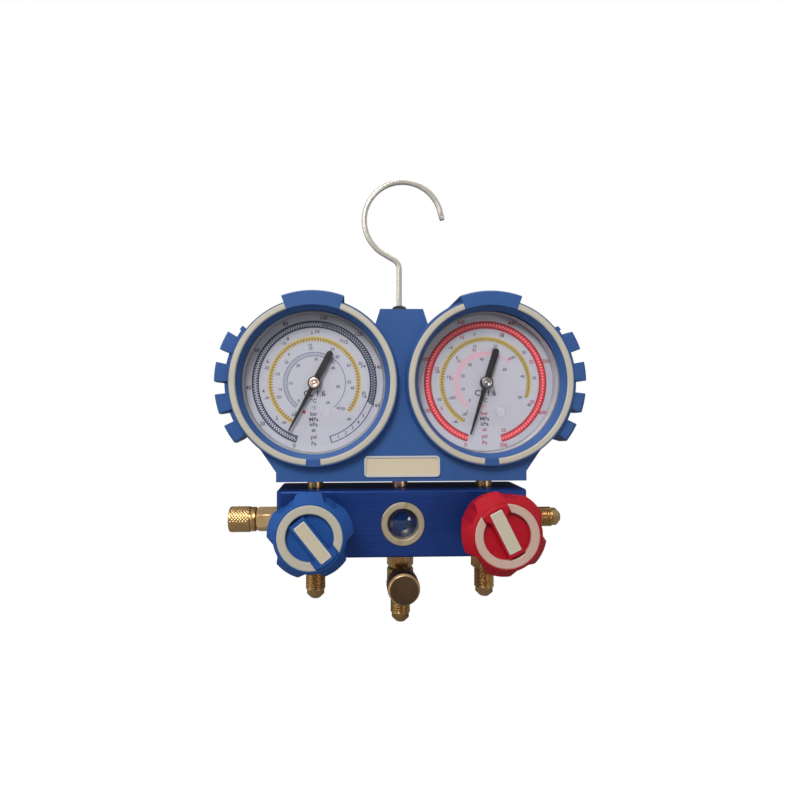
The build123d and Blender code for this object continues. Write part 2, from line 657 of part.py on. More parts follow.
with BuildPart() as sight_glass_lens:
    dome_r = BEZEL_BORE_R - FIT
    ball_r = (dome_r ** 2 + GLASS_DOME ** 2) / (2 * GLASS_DOME)
    halfway = bezel_seat + GLASS_DOME - ball_r + sqrt(ball_r ** 2 - dome_r ** 2 / 4)
    with BuildSketch(Plane(origin=(0, 0, 0), x_dir=(1, 0, 0), z_dir=(0, 0, -1))) as half_lens:
        with BuildLine():
            Polyline((0, bezel_seat + GLASS_DOME), (0, bezel_seat - GLASS_T), (GLASS_R, bezel_seat - GLASS_T),
                     (GLASS_R, bezel_seat), (dome_r, bezel_seat))
            ThreePointArc((dome_r, bezel_seat), (dome_r / 2, halfway), (0, bezel_seat + GLASS_DOME))
        make_face()
    revolve(half_lens.sketch, axis=Axis((0, 0, 0), (0, -1, 0)))
sight_glass_lens.part.label = "sight_glass_lens"
export_step(sight_glass_lens.part, "parts/sight_glass_lens.step")

with BuildPart() as sight_glass_seal:
    turn(ring(GLASS_R - SEAL_WIDTH, GLASS_R, glass_seat, glass_seat + SEAL_T), (0, 0))
sight_glass_seal.part.label = "sight_glass_seal"
export_step(sight_glass_seal.part, "parts/sight_glass_seal.step")

# ---- Valves and hand-wheels --------------------------------------------------------------------------------
for name, x in sides.items():
    valve = (x, 0)
    ridge = WHEEL_ANGLE[name]

    with BuildPart() as bonnet:
        piston_space = bonnet_face - BONNET_HEX_L - BONNET_BARREL
        shell = [
            (CHAMBER_R, bonnet_back), (BONNET_THREAD_R, bonnet_back), (BONNET_THREAD_R, BLOCK_DEPTH),
            (BONNET_NECK_R, BLOCK_DEPTH), (BONNET_NECK_R, bonnet_face - EDGE),
            (BONNET_NECK_R - EDGE, bonnet_face), (STEM_R, bonnet_face), (STEM_R, piston_space),
            (CHAMBER_R, piston_space),
        ]
        turn(shell, valve)
        with BuildSketch(facing(valve, BLOCK_DEPTH)):
            RegularPolygon(BONNET_HEX_ACROSS / 2, 6, major_radius=False)
            Circle(BONNET_NECK_R - EDGE, mode=Mode.SUBTRACT)
        extrude(amount=BONNET_HEX_L)
    bonnet.part.label = f"{name}_bonnet"
    export_step(bonnet.part, f"parts/{bonnet.part.label}.step")

    with BuildPart() as piston:
        seal_r = SEAT_R - RUN
        body = [
            (0, SEAT_DEPTH - seal_r / 2), (seal_r / 2, SEAT_DEPTH - seal_r / 2),
            (PISTON_NOSE_R, SEAT_DEPTH + PISTON_NOSE_R - seal_r),
            (PISTON_NOSE_R, SEAT_DEPTH + PISTON_NOSE_L),
            (CHAMBER_R - RUN, SEAT_DEPTH + PISTON_NOSE_L), (CHAMBER_R - RUN, piston_front),
            (STEM_TIP_R + RUN, piston_front), (STEM_TIP_R + RUN, piston_front - STEM_TIP_L),
            (0, piston_front - STEM_TIP_L),
        ]
        turn(body, valve)
    piston.part.label = f"{name}_piston"
    export_step(piston.part, f"parts/{piston.part.label}.step")

    with BuildPart() as stem:
        spindle = [
            (0, stem_back - STEM_TIP_L), (STEM_TIP_R, stem_back - STEM_TIP_L), (STEM_TIP_R, stem_back),
            (STEM_R - RUN, stem_back), (STEM_R - RUN, drive_start), (0, drive_start),
        ]
        turn(spindle, valve)
        with BuildSketch(facing(valve, drive_start, ridge)):
            Rectangle(DRIVE_ACROSS, DRIVE_ACROSS)
        extrude(amount=DRIVE_L)
        turn(ring(0, SCREW_R + RUN, stem_front - SCREW_L - 1, stem_front), valve, mode=Mode.SUBTRACT)
    stem.part.label = f"{name}_stem"
    export_step(stem.part, f"parts/{stem.part.label}.step")

    ridge_face = wheel_face + RIDGE_PROUD
    bar_face = ridge_face + BAR_PROUD
    bar_back = bar_face - BAR_T
    screw_seat = stem_front + FIT
    with BuildPart() as handwheel_ring:
        band = [
            (BAND_INNER_R, wheel_face - BAND_T), (BAND_OUTER_R, wheel_face - BAND_T),
            (BAND_OUTER_R, wheel_face), (BAND_OUTER_R - BAND_BEVEL, wheel_face + BAND_PROUD),
            (BAND_INNER_R + BAND_BEVEL, wheel_face + BAND_PROUD), (BAND_INNER_R, wheel_face),
        ]
        turn(band, valve)
        with BuildSketch(facing(valve, wheel_face - BAND_T, ridge)):
            with Locations((WHEEL_LOBE_R / 2, 0)):
                Rectangle(WHEEL_LOBE_R, BAND_GAP)
        extrude(amount=BAND_T + BAND_PROUD, mode=Mode.SUBTRACT)
    handwheel_ring.part.label = f"{name}_handwheel_ring"
    export_step(handwheel_ring.part, f"parts/{handwheel_ring.part.label}.step")

    shoulder = wheel_face - LOBE_SHOULDER
    skirt = [(0, wheel_back), (WHEEL_BACK_R, wheel_back), (WHEEL_LOBE_R, shoulder)]
    with BuildPart() as ridge_bar:
        with BuildSketch(facing(valve, shoulder, ridge)):
            half, head = RIDGE_WIDTH / 2, RIDGE_HEAD_WIDTH / 2
            Polygon((-RIDGE_TAIL, -half), (RIDGE_FLARE[0], -half), (RIDGE_FLARE[1], -head),
                    (WHEEL_LOBE_R, -head), (WHEEL_LOBE_R, head), (RIDGE_FLARE[1], head),
                    (RIDGE_FLARE[0], half), (-RIDGE_TAIL, half))
        extrude(amount=ridge_face - shoulder)
        turn(skirt + [(RIDGE_SLOPE_R, ridge_face), (0, ridge_face)], valve, mode=Mode.INTERSECT)

    with BuildPart() as handwheel:
        # Tapered skirt with a bevelled front, notched into lobes
        rim = BAND_OUTER_R + BAND_BORDER
        turn(skirt + [(rim, wheel_face), (0, wheel_face)], valve)
        lobe_pitch = 360 / WHEEL_LOBES
        for i in range(WHEEL_LOBES):
            with BuildSketch(facing(valve, wheel_back, ridge + (i + 0.5) * lobe_pitch)):
                floor, mouth = radians(NOTCH_ARC / 2), radians(NOTCH_MOUTH_ARC / 2)
                Polygon((NOTCH_R * cos(floor), -NOTCH_R * sin(floor)), (NOTCH_R, 0),
                        (NOTCH_R * cos(floor), NOTCH_R * sin(floor)),
                        (NOTCH_MOUTH_R * cos(mouth), NOTCH_MOUTH_R * sin(mouth)), (NOTCH_MOUTH_R, 0),
                        (NOTCH_MOUTH_R * cos(mouth), -NOTCH_MOUTH_R * sin(mouth)))
            extrude(amount=WHEEL_DEPTH, mode=Mode.SUBTRACT)
        # Dished centre crossed by the ridge, and the pocket of the coloured band
        turn(ring(0, BAND_INNER_R, dish_face, wheel_face), valve, mode=Mode.SUBTRACT)
        add(ridge_bar.part)
        add(handwheel_ring.part, mode=Mode.SUBTRACT)
        # Hollow skirt round a hub with a square drive, and the screw and bar seats in the ridge
        web_back = dish_face - WHEEL_WEB
        hollow = [
            (HUB_R, wheel_back), (WHEEL_BACK_R - WHEEL_WALL, wheel_back), (NOTCH_R - WHEEL_WALL, web_back),
            (HUB_R, web_back),
        ]
        turn(hollow, valve, mode=Mode.SUBTRACT)
        turn(ring(0, HUB_R, wheel_back, hub_back), valve, mode=Mode.SUBTRACT)
        with BuildSketch(facing(valve, hub_back, ridge)):
            Rectangle(DRIVE_ACROSS + 2 * RUN, DRIVE_ACROSS + 2 * RUN)
        extrude(amount=screw_seat - hub_back, mode=Mode.SUBTRACT)
        turn(ring(0, SCREW_R + FIT, screw_seat, ridge_face), valve, mode=Mode.SUBTRACT)
        turn(ring(0, SCREW_HEAD_R + FIT, screw_seat + SCREW_HEAD_SEAT, ridge_face), valve, mode=Mode.SUBTRACT)
        with BuildSketch(facing(valve, bar_back, ridge)):
            with Locations((BAR_OFFSET, 0)):
                RectangleRounded(BAR_LENGTH + INLAY_GAP, BAR_WIDTH + INLAY_GAP, BAR_CORNER)
        extrude(amount=BAR_T, mode=Mode.SUBTRACT)
    handwheel.part.label = f"{name}_handwheel"
    export_step(handwheel.part, f"parts/{handwheel.part.label}.step")

    with BuildPart() as handwheel_bar:
        with BuildSketch(facing(valve, bar_back, ridge)):
            with Locations((BAR_OFFSET, 0)):
                RectangleRounded(BAR_LENGTH, BAR_WIDTH, BAR_CORNER)
        extrude(amount=BAR_T)
        chamfer(handwheel_bar.faces().sort_by(Axis.Y)[0].edges(), BAR_PROUD)
    handwheel_bar.part.label = f"{name}_handwheel_bar"
    export_step(handwheel_bar.part, f"parts/{handwheel_bar.part.label}.step")

    with BuildPart() as handwheel_screw:
        head_seat = screw_seat + SCREW_HEAD_SEAT
        turn(ring(0, SCREW_R, stem_front - SCREW_L, head_seat), valve)
        turn(ring(0, SCREW_HEAD_R, head_seat, bar_back - FIT), valve)
    handwheel_screw.part.label = f"{name}_handwheel_screw"
    export_step(handwheel_screw.part, f"parts/{handwheel_screw.part.label}.step")

# ---- Casing: front shell -------------------------------------------------------------------------------------
band_arc = 180 - (CAP_ARC + TAB_ARC) / 2
bands = [(90 + CAP_ARC / 2, band_arc), (270 + TAB_ARC / 2, band_arc)]
with BuildPart() as front_casing:
    with BuildSketch(front(PARTING)):
        add(casing_sketch())
    extrude(amount=PLATE_FACE - PARTING)
    # Hollow web between the gauge pockets, with bosses for the shell screws
    with BuildSketch(front(PARTING)):
        add(casing_sketch(CASING_WALL))
        with Locations(*gauge_centres):
            Circle(pocket_r + CASING_WALL, mode=Mode.SUBTRACT)
        with Locations(*shell_screws):
            Circle(SHELL_BOSS_R, mode=Mode.SUBTRACT)
    extrude(amount=PLATE_FACE - CASING_WALL - PARTING, mode=Mode.SUBTRACT)
    for centre in gauge_centres:
        collar = [
            (0, PLATE_FACE - CASING_WALL), (COLLAR_R, PLATE_FACE - CASING_WALL), (COLLAR_R, PLATE_FACE),
            (COLLAR_R - COLLAR_TAPER, COLLAR_FACE), (0, COLLAR_FACE),
        ]
        turn(collar, centre)
        guard = [
            (GLOW_INNER_R - GLOW_PROUD, PARTING), (CAP_OUTER_R, PARTING),
            (CAP_OUTER_R, COLLAR_FACE + GLOW_PROUD - CAP_EDGE),
            (CAP_OUTER_R - CAP_EDGE, COLLAR_FACE + GLOW_PROUD), (GLOW_INNER_R, COLLAR_FACE + GLOW_PROUD),
            (GLOW_INNER_R - GLOW_PROUD, COLLAR_FACE),
        ]
        turn(guard, centre, 90 - CAP_ARC / 2, CAP_ARC)
    grips(PARTING, GRIP_FRONT, GRIP_FRONT - GRIP_BEVEL)
    for centre in gauge_centres:
        turn(ring(0, pocket_r, PARTING, pocket_front), centre, mode=Mode.SUBTRACT)
        mouth = [
            (0, pocket_front), (LIP_R, pocket_front), (LIP_R + LIP_BEVEL, COLLAR_FACE),
            (LIP_R + LIP_BEVEL, COLLAR_FACE + 1), (0, COLLAR_FACE + 1),
        ]
        turn(mouth, centre, mode=Mode.SUBTRACT)
        for start, arc in bands:
            turn(ring(GLOW_INNER_R, GLOW_OUTER_R, COLLAR_FACE - GLOW_DEPTH, COLLAR_FACE + 1), centre,
                 start, arc, mode=Mode.SUBTRACT)
    for centre in shell_screws:
        turn(ring(0, SHELL_SCREW_R + RUN, PARTING, PLATE_FACE - CASING_WALL), centre, mode=Mode.SUBTRACT)
    with BuildSketch(front(PLATE_FACE - PLAQUE_T + PLAQUE_PROUD)):
        with Locations((0, casing_bottom + PLAQUE_RISE)):
            RectangleRounded(PLAQUE_LENGTH + INLAY_GAP, PLAQUE_HEIGHT + INLAY_GAP, PLAQUE_CORNER)
    extrude(amount=PLAQUE_T, mode=Mode.SUBTRACT)
    shell_openings()
front_casing.part.label = "front_casing"
export_step(front_casing.part, "parts/front_casing.step")

# ---- Casing: rear shell ---------------------------------------------------------------------------------------
with BuildPart() as rear_casing:
    with BuildSketch(front(0)):
        add(casing_sketch())
    extrude(amount=PARTING)
    with BuildSketch(front(BACK_WALL)):
        add(casing_sketch(CASING_WALL))
        with Locations(*gauge_centres):
            Circle(pocket_r + CASING_WALL, mode=Mode.SUBTRACT)
        with Locations(*shell_screws):
            Circle(SHELL_BOSS_R, mode=Mode.SUBTRACT)
    extrude(amount=PARTING - BACK_WALL, mode=Mode.SUBTRACT)
    for centre in gauge_centres:
        guard = [
            (GLOW_INNER_R, PARTING), (CAP_OUTER_R, PARTING), (CAP_OUTER_R, CAP_EDGE),
            (CAP_OUTER_R - CAP_EDGE, 0), (GLOW_INNER_R, 0),
        ]
        turn(guard, centre, 90 - CAP_ARC / 2, CAP_ARC)
    grips(PARTING, GRIP_REAR, GRIP_REAR + GRIP_BEVEL)
    for centre in gauge_centres:
        turn(ring(0, pocket_r, BACK_WALL, PARTING), centre, mode=Mode.SUBTRACT)
        turn(ring(0, BACK_DISH_R, 0, BACK_DISH_DEPTH), centre, mode=Mode.SUBTRACT)
    for centre in shell_screws:
        turn(ring(0, SHELL_SCREW_R + FIT, 0, PARTING), centre, mode=Mode.SUBTRACT)
        turn(ring(0, SHELL_SCREW_HEAD_R + FIT, 0, HEAD_RECESS + HEAD_L), centre, mode=Mode.SUBTRACT)
    shell_openings()
rear_casing.part.label = "rear_casing"
export_step(rear_casing.part, "parts/rear_casing.step")

with BuildPart() as casing_screws:
    for centre in shell_screws:
        turn(ring(0, SHELL_SCREW_HEAD_R, HEAD_RECESS, HEAD_RECESS + HEAD_L), centre)
        screw_end = PLATE_FACE - CASING_WALL - SCREW_END_GAP
        turn(ring(0, SHELL_SCREW_R, HEAD_RECESS + HEAD_L, screw_end), centre)
casing_screws.part.label = "casing_screws"
export_step(casing_screws.part, "parts/casing_screws.step")

with BuildPart() as name_plate:
    plaque_back = PLATE_FACE - PLAQUE_T + PLAQUE_PROUD
    with BuildSketch(front(plaque_back)):
        with Locations((0, casing_bottom + PLAQUE_RISE)):
            RectangleRounded(PLAQUE_LENGTH, PLAQUE_HEIGHT, PLAQUE_CORNER)
    extrude(amount=PLAQUE_T)
    with BuildSketch(front(plaque_back + PLAQUE_T)):
        with Locations((0, casing_bottom + PLAQUE_RISE)):
            RectangleRounded(PLAQUE_LENGTH - 2 * PLAQUE_RIM, PLAQUE_HEIGHT - 2 * PLAQUE_RIM,
                             PLAQUE_CORNER - PLAQUE_RIM)
    extrude(amount=-PLAQUE_FIELD_DEPTH, mode=Mode.SUBTRACT)
name_plate.part.label = "name_plate"
export_step(name_plate.part, "parts/name_plate.step")

for name, x in sides.items():
    with BuildPart() as glow_ring:
        glow_front = COLLAR_FACE + GLOW_PROUD
        glow = [
            (GLOW_INNER_R, COLLAR_FACE - GLOW_DEPTH), (GLOW_OUTER_R, COLLAR_FACE - GLOW_DEPTH),
            (GLOW_OUTER_R, glow_front - GLOW_BEVEL), (GLOW_OUTER_R - GLOW_BEVEL, glow_front),
            (GLOW_INNER_R + GLOW_BEVEL, glow_front), (GLOW_INNER_R, glow_front - GLOW_BEVEL),
        ]
        for start, arc in bands:
            turn(glow, (x, gauge_z), start, arc)
    glow_ring.part.label = f"{name}_glow_ring"
    export_step(glow_ring.part, f"parts/{glow_ring.part.label}.step")

# ---- Bolt and spacer between the block and the casing -----------------------------------------------------------
with BuildPart() as casing_spacer:
    turn_along(ring(BOLT_R + RUN, SPACER_R, 0, CASING_GAP), (0, -plumb, block_top), (0, 0, 1))
casing_spacer.part.label = "casing_spacer"
export_step(casing_spacer.part, "parts/casing_spacer.step")

with BuildPart() as casing_bolt:
    bolt_seat = CASING_GAP + CASING_WALL
    turn_along(ring(0, BOLT_R, 1 - PIPE_THREAD_L, bolt_seat + BOLT_HEAD_L), (0, -plumb, block_top), (0, 0, 1))
    turn_along(ring(0, BOLT_HEAD_R, bolt_seat, bolt_seat + BOLT_HEAD_L), (0, -plumb, block_top), (0, 0, 1))
casing_bolt.part.label = "casing_bolt"
export_step(casing_bolt.part, "parts/casing_bolt.step")

# ---- Pressure gauges ---------------------------------------------------------------------------------------------
with BuildPart() as window_plugs:
    for x in sides.values():
        plug = (x + PLUG_X, gauge_z + PLUG_Z)
        turn(ring(0, PLUG_R - RUN, case_front, window_front), plug)
window_plugs.part.label = "window_plugs"
export_step(window_plugs.part, "parts/window_plugs.step")

for name, x in sides.items():
    axis = (x, gauge_z)

    with BuildPart() as case:
        turn(ring(0, CASE_R, case_back, case_front), axis)
        turn(ring(0, CASE_R - CASE_WALL, case_back + CASE_WALL, case_front), axis, mode=Mode.SUBTRACT)
        turn_along(ring(0, STEM_PIPE_R + FIT, 0, CASE_R), (x, -plumb, gauge_z - CASE_R - 1), (0, 0, 1),
                   mode=Mode.SUBTRACT)
    case.part.label = f"{name}_case"
    export_step(case.part, f"parts/{case.part.label}.step")

    with BuildPart() as window:
        turn(ring(0, CASE_R, case_front, window_front), axis)
        turn(ring(0, PLUG_R, case_front, window_front), (x + PLUG_X, gauge_z + PLUG_Z), mode=Mode.SUBTRACT)
    window.part.label = f"{name}_window"
    export_step(window.part, f"parts/{window.part.label}.step")

    with BuildPart() as dial:
        turn(ring(2.5 * ARBOR_R, CASE_R - CASE_WALL - FIT, DIAL_DEPTH - DIAL_T, DIAL_DEPTH), axis)
    dial.part.label = f"{name}_dial"
    export_step(dial.part, f"parts/{dial.part.label}.step")

    # Socket: screwed stem, block inside the case and an ear that takes the Bourdon tube
    with BuildPart() as socket:
        case_rise = GAUGE_RISE - CASE_R + CASE_WALL / 2
        turn_along(ring(0, STEM_PIPE_R, 1 - PIPE_THREAD_L, case_rise), (x, -plumb, block_top), (0, 0, 1))
        turn_along(ring(0, SOCKET_NECK_R, case_rise, case_rise + SOCKET_NECK_L), (x, -plumb, block_top),
                   (0, 0, 1))
        tube_front, tube_back = TUBE_DEPTH + TUBE_WIDTH / 2, TUBE_DEPTH - TUBE_WIDTH / 2
        inside = CASE_WALL - CASE_R
        shelf = SHELF_DROP - SOCKET_TOP
        with BuildSketch(facing(axis, tube_back - EAR_MARGIN)):
            Polygon((SHELF_LEFT, inside + 2 * SOCKET_RISE), (SHELF_LEFT, shelf), (SHELF_RIGHT, shelf),
                    (SHELF_RIGHT, -SOCKET_TOP), (PLATE_HALF, -SOCKET_TOP), (PLATE_HALF, inside + SOCKET_RISE),
                    (SOCKET_LEFT, inside + SOCKET_RISE))
        extrude(amount=TUBE_WIDTH + 2 * EAR_MARGIN)
        ear = ring(TUBE_R - TUBE_THICK, TUBE_R + TUBE_THICK, tube_back - EAR_MARGIN, tube_front + EAR_MARGIN)
        turn(ear, axis, TUBE_END, EAR_ARC)
    socket.part.label = f"{name}_socket"
    export_step(socket.part, f"parts/{socket.part.label}.step")

    # Bourdon tube: flattened C-tube with a slotted eye plate at its free end
    with BuildPart() as bourdon_tube:
        free_end = (cos(radians(TUBE_START)), sin(radians(TUBE_START)))
        across_end = Plane(
            origin=(x, 0, gauge_z), x_dir=(free_end[0], 0, free_end[1]), z_dir=(free_end[1], 0, -free_end[0])
        )
        with BuildSketch(across_end) as oval:
            with Locations((TUBE_R, TUBE_DEPTH)):
                RectangleRounded(TUBE_THICK, TUBE_WIDTH, TUBE_THICK * 0.49)
        revolve(oval.sketch, axis=Axis((x, 0, gauge_z), (0, -1, 0)), revolution_arc=TUBE_END - TUBE_START)
        eye_far = (eye_point[0] + tail_shift[0], eye_point[1] + tail_shift[1])
        slot_r = LINK_PIN_R + FIT
        with BuildSketch(facing(axis, GEAR_DEPTH - EYE_PLATE_T / 2)):
            with BuildLine():
                CenterArc(eye_point, slot_r + SLOT_RIM, 0, 360)
                CenterArc(eye_far, slot_r + SLOT_RIM, 0, 360)
                CenterArc((TUBE_R * free_end[0], TUBE_R * free_end[1]), TUBE_THICK / 2, 0, 360)
            make_hull()
        extrude(amount=EYE_PLATE_T)
        with BuildSketch(facing(axis, sector_back)):
            with BuildLine():
                CenterArc(eye_point, slot_r, 0, 360)
                CenterArc(eye_far, slot_r, 0, 360)
            make_hull()
        extrude(amount=SECTOR_T, mode=Mode.SUBTRACT)
    bourdon_tube.part.label = f"{name}_bourdon_tube"
    export_step(bourdon_tube.part, f"parts/{bourdon_tube.part.label}.step")

    # Movement frame: two plates on pillars, standing on the socket, with two posts for the dial
    with BuildPart() as movement_frame:
        foot = -SOCKET_TOP
        for start in (PLATE_BACK - PLATE_T, PLATE_FRONT):
            with BuildSketch(facing(axis, start)):
                Polygon((PLATE_NECK, foot), (PLATE_HALF, foot), (PLATE_HALF, PLATE_TOP),
                        (-PLATE_HALF, PLATE_TOP), (-PLATE_HALF, foot + PLATE_STEP),
                        (PLATE_NECK, foot + PLATE_STEP))
            extrude(amount=PLATE_T)
        with BuildSketch(facing(axis, PLATE_BACK)):
            with Locations((-PLATE_HALF + PILLAR_R, PLATE_TOP - PILLAR_R),
                           (PLATE_HALF - PILLAR_R, PLATE_TOP - PILLAR_R)):
                Circle(PILLAR_R)
            with Locations((FOOT_X, foot + FOOT_T / 2)):
                Rectangle(FOOT_LENGTH, FOOT_T)
        extrude(amount=PLATE_FRONT - PLATE_BACK)
        with BuildSketch(facing(axis, PLATE_FRONT + PLATE_T)):
            with Locations((-PLATE_HALF + PILLAR_R, PLATE_TOP - PILLAR_R),
                           (PLATE_HALF - PILLAR_R, PLATE_TOP - PILLAR_R), (FOOT_X, foot + FOOT_T)):
                Circle(PILLAR_R)
        extrude(amount=DIAL_DEPTH - DIAL_T - PLATE_FRONT - PLATE_T)
        turn(ring(0, ARBOR_R + RUN, 0, DIAL_DEPTH), axis, mode=Mode.SUBTRACT)
        turn(ring(0, SECTOR_ARBOR_R + RUN, 0, DIAL_DEPTH), (x, gauge_z - centres), mode=Mode.SUBTRACT)
    movement_frame.part.label = f"{name}_movement_frame"
    export_step(movement_frame.part, f"parts/{movement_frame.part.label}.step")

    # Sector: toothed rim on two spokes, with a tail that the link pulls
    pivot = (x, gauge_z - centres)
    sector_root = sector_r - PINION_ADDENDUM * MODULE - ROOT_GAP
    sector_tip = sector_r + SECTOR_ADDENDUM * MODULE
    step = 360 / SECTOR_TEETH
    first, last = 90 + (SECTOR_FIRST - 0.5) * step, 90 + (SECTOR_LAST + 0.5) * step
    with BuildPart() as sector_gear:
        with BuildSketch(facing(pivot, sector_back)):
            outline = []
            for i in range(SECTOR_FIRST, SECTOR_LAST + 1):
                outline += tooth(SECTOR_TEETH, sector_root, sector_tip, radians(90 + i * step))
            inner = sector_root - RIM_T
            rim = [(inner * cos(radians(a)), inner * sin(radians(a)))
                   for a in [last - i * (last - first) / 4 for i in range(5)]]
            Polygon(*(outline + rim))
            for angle in (first + step, last - step):
                with Locations(Location((0, 0), angle)):
                    with Locations(((inner + RIM_T / 2) / 2, 0)):
                        Rectangle(inner + RIM_T / 2, SPOKE_WIDTH)
            Circle(SECTOR_HUB_R)
            with Locations(Location((0, 0), TAIL_ANGLE)):
                with Locations((TAIL_L / 2, 0)):
                    SlotCenterToCenter(TAIL_L, 2 * LINK_EYE_R)
            with Locations((tail_point[0], tail_point[1] + centres)):
                Circle(LINK_PIN_R + RUN, mode=Mode.SUBTRACT)
        extrude(amount=SECTOR_T)
        turn(ring(0, SECTOR_ARBOR_R, PLATE_BACK - PLATE_T, PLATE_FRONT + PLATE_T), pivot)
    sector_gear.part.label = f"{name}_sector_gear"
    export_step(sector_gear.part, f"parts/{sector_gear.part.label}.step")

    with BuildPart() as link:
        with BuildSketch(facing(axis, link_back)):
            with BuildLine():
                CenterArc(tail_point, LINK_EYE_R, 0, 360)
                CenterArc(eye_point, LINK_EYE_R, 0, 360)
            make_hull()
        extrude(amount=LINK_T)
        with BuildSketch(facing(axis, link_front)):
            with Locations(tail_point, eye_point):
                Circle(LINK_PIN_R)
        extrude(amount=LINK_GAP + SECTOR_T + FIT)
    link.part.label = f"{name}_link"
    export_step(link.part, f"parts/{link.part.label}.step")

    # Pinion: ten-leaf gear on the pointer's arbor, a gap facing the sector at rest
    with BuildPart() as pinion:
        pinion_root = pinion_r - SECTOR_ADDENDUM * MODULE - ROOT_GAP
        pinion_tip = pinion_r + PINION_ADDENDUM * MODULE
        with BuildSketch(facing(axis, GEAR_DEPTH - PINION_L / 2)):
            leaves = []
            for i in range(PINION_TEETH):
                leaves += tooth(PINION_TEETH, pinion_root, pinion_tip,
                                radians(-90 + (i + 0.5) * 360 / PINION_TEETH))
            Polygon(*leaves)
        extrude(amount=PINION_L)
        turn(ring(0, ARBOR_R, PLATE_BACK - PLATE_T, POINTER_DEPTH + POINTER_T), axis)
    pinion.part.label = f"{name}_pinion"
    export_step(pinion.part, f"parts/{pinion.part.label}.step")

    with BuildPart() as pointer:
        with BuildSketch(facing(axis, POINTER_DEPTH, POINTER_ANGLE[name])):
            Polygon((0, -POINTER_ROOT / 2), (POINTER_L, -POINTER_TIP / 2), (POINTER_L, POINTER_TIP / 2),
                    (0, POINTER_ROOT / 2))
            with Locations((-(POINTER_TAIL_L - POINTER_TAIL_W / 2) / 2, 0)):
                SlotCenterToCenter(POINTER_TAIL_L - POINTER_TAIL_W / 2, POINTER_TAIL_W)
        extrude(amount=POINTER_T)
        turn(ring(0, POINTER_HUB_R, POINTER_DEPTH, POINTER_DEPTH + POINTER_HUB_L), axis)
        turn(ring(0, ARBOR_R + RUN, POINTER_DEPTH, POINTER_DEPTH + POINTER_T), axis, mode=Mode.SUBTRACT)
    pointer.part.label = f"{name}_pointer"
    export_step(pointer.part, f"parts/{pointer.part.label}.step")

# ---- Hook: bent wire that swivels in the casing's top -----------------------------------------------------------------
with BuildPart() as hook:
    start = (hook_centre[0] + HOOK_RADIUS * cos(radians(HOOK_START)),
             hook_centre[1] + HOOK_RADIUS * sin(radians(HOOK_START)))
    corner_z = start[1] + start[0] * cos(radians(HOOK_START)) / sin(radians(HOOK_START))
    finish = (hook_centre[0] + HOOK_RADIUS * cos(radians(HOOK_END)),
              hook_centre[1] + HOOK_RADIUS * sin(radians(HOOK_END)))
    leg = (finish[0] + HOOK_LEG * sin(radians(HOOK_END)), finish[1] - HOOK_LEG * cos(radians(HOOK_END)))
    shank_bottom = casing_top - CASING_WALL - HOOK_TAIL_L
    with BuildLine(front(plumb)):
        FilletPolyline((0, shank_bottom), (0, corner_z), start, radius=HOOK_BEND_R)
        CenterArc(hook_centre, HOOK_RADIUS, HOOK_START, HOOK_END - HOOK_START)
        Line(finish, leg)
    with BuildSketch(Plane((0, -plumb, shank_bottom), z_dir=(0, 0, 1))):
        Circle(HOOK_WIRE_R)
    sweep()
hook.part.label = "hook"
export_step(hook.part, "parts/hook.step")

with BuildPart() as hook_collar:
    collar = [
        (HOOK_WIRE_R + RUN, 0), (HOOK_COLLAR_R, 0), (HOOK_COLLAR_R, HOOK_COLLAR_L / 2),
        (HOOK_COLLAR_R - 2 * EDGE, HOOK_COLLAR_L - EDGE), (HOOK_COLLAR_R - 4 * EDGE, HOOK_COLLAR_L),
        (HOOK_WIRE_R + RUN, HOOK_COLLAR_L),
    ]
    turn_along(collar, (0, -plumb, casing_top), (0, 0, 1))
hook_collar.part.label = "hook_collar"
export_step(hook_collar.part, "parts/hook_collar.step")

with BuildPart() as hook_nut:
    nut_top = casing_top - CASING_WALL - FIT
    with BuildSketch(Plane((0, -plumb, nut_top), z_dir=(0, 0, -1))):
        RegularPolygon(HOOK_NUT_R, 6)
        Circle(HOOK_WIRE_R, mode=Mode.SUBTRACT)
    extrude(amount=HOOK_NUT_L)
hook_nut.part.label = "hook_nut"
export_step(hook_nut.part, "parts/hook_nut.step")
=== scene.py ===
from math import cos, pi, radians, sin, tan

import bpy
import numpy as np
from mathutils import Matrix, Vector


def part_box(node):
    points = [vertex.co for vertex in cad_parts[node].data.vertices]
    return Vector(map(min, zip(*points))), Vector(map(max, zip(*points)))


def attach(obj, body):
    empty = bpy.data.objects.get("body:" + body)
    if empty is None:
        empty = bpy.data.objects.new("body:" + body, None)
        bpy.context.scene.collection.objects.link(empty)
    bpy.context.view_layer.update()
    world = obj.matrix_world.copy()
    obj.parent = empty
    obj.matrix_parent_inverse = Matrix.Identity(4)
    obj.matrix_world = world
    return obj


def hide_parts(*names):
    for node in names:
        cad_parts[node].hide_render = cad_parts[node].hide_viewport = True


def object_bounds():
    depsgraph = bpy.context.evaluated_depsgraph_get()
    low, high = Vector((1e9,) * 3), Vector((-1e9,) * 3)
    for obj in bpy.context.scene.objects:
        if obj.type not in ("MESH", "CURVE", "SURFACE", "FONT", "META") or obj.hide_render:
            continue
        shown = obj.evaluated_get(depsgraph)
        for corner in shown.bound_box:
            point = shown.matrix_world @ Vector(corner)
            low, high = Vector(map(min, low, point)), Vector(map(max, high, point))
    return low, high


# Looks of the two-valve refrigerant manifold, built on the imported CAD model. Metres, row frame.
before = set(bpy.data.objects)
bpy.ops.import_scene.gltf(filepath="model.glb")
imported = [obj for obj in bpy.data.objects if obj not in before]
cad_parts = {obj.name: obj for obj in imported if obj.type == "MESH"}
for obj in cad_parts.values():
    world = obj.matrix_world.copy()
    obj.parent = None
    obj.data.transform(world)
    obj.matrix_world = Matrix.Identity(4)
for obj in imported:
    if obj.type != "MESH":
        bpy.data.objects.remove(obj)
cad_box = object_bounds()
MM = 0.001
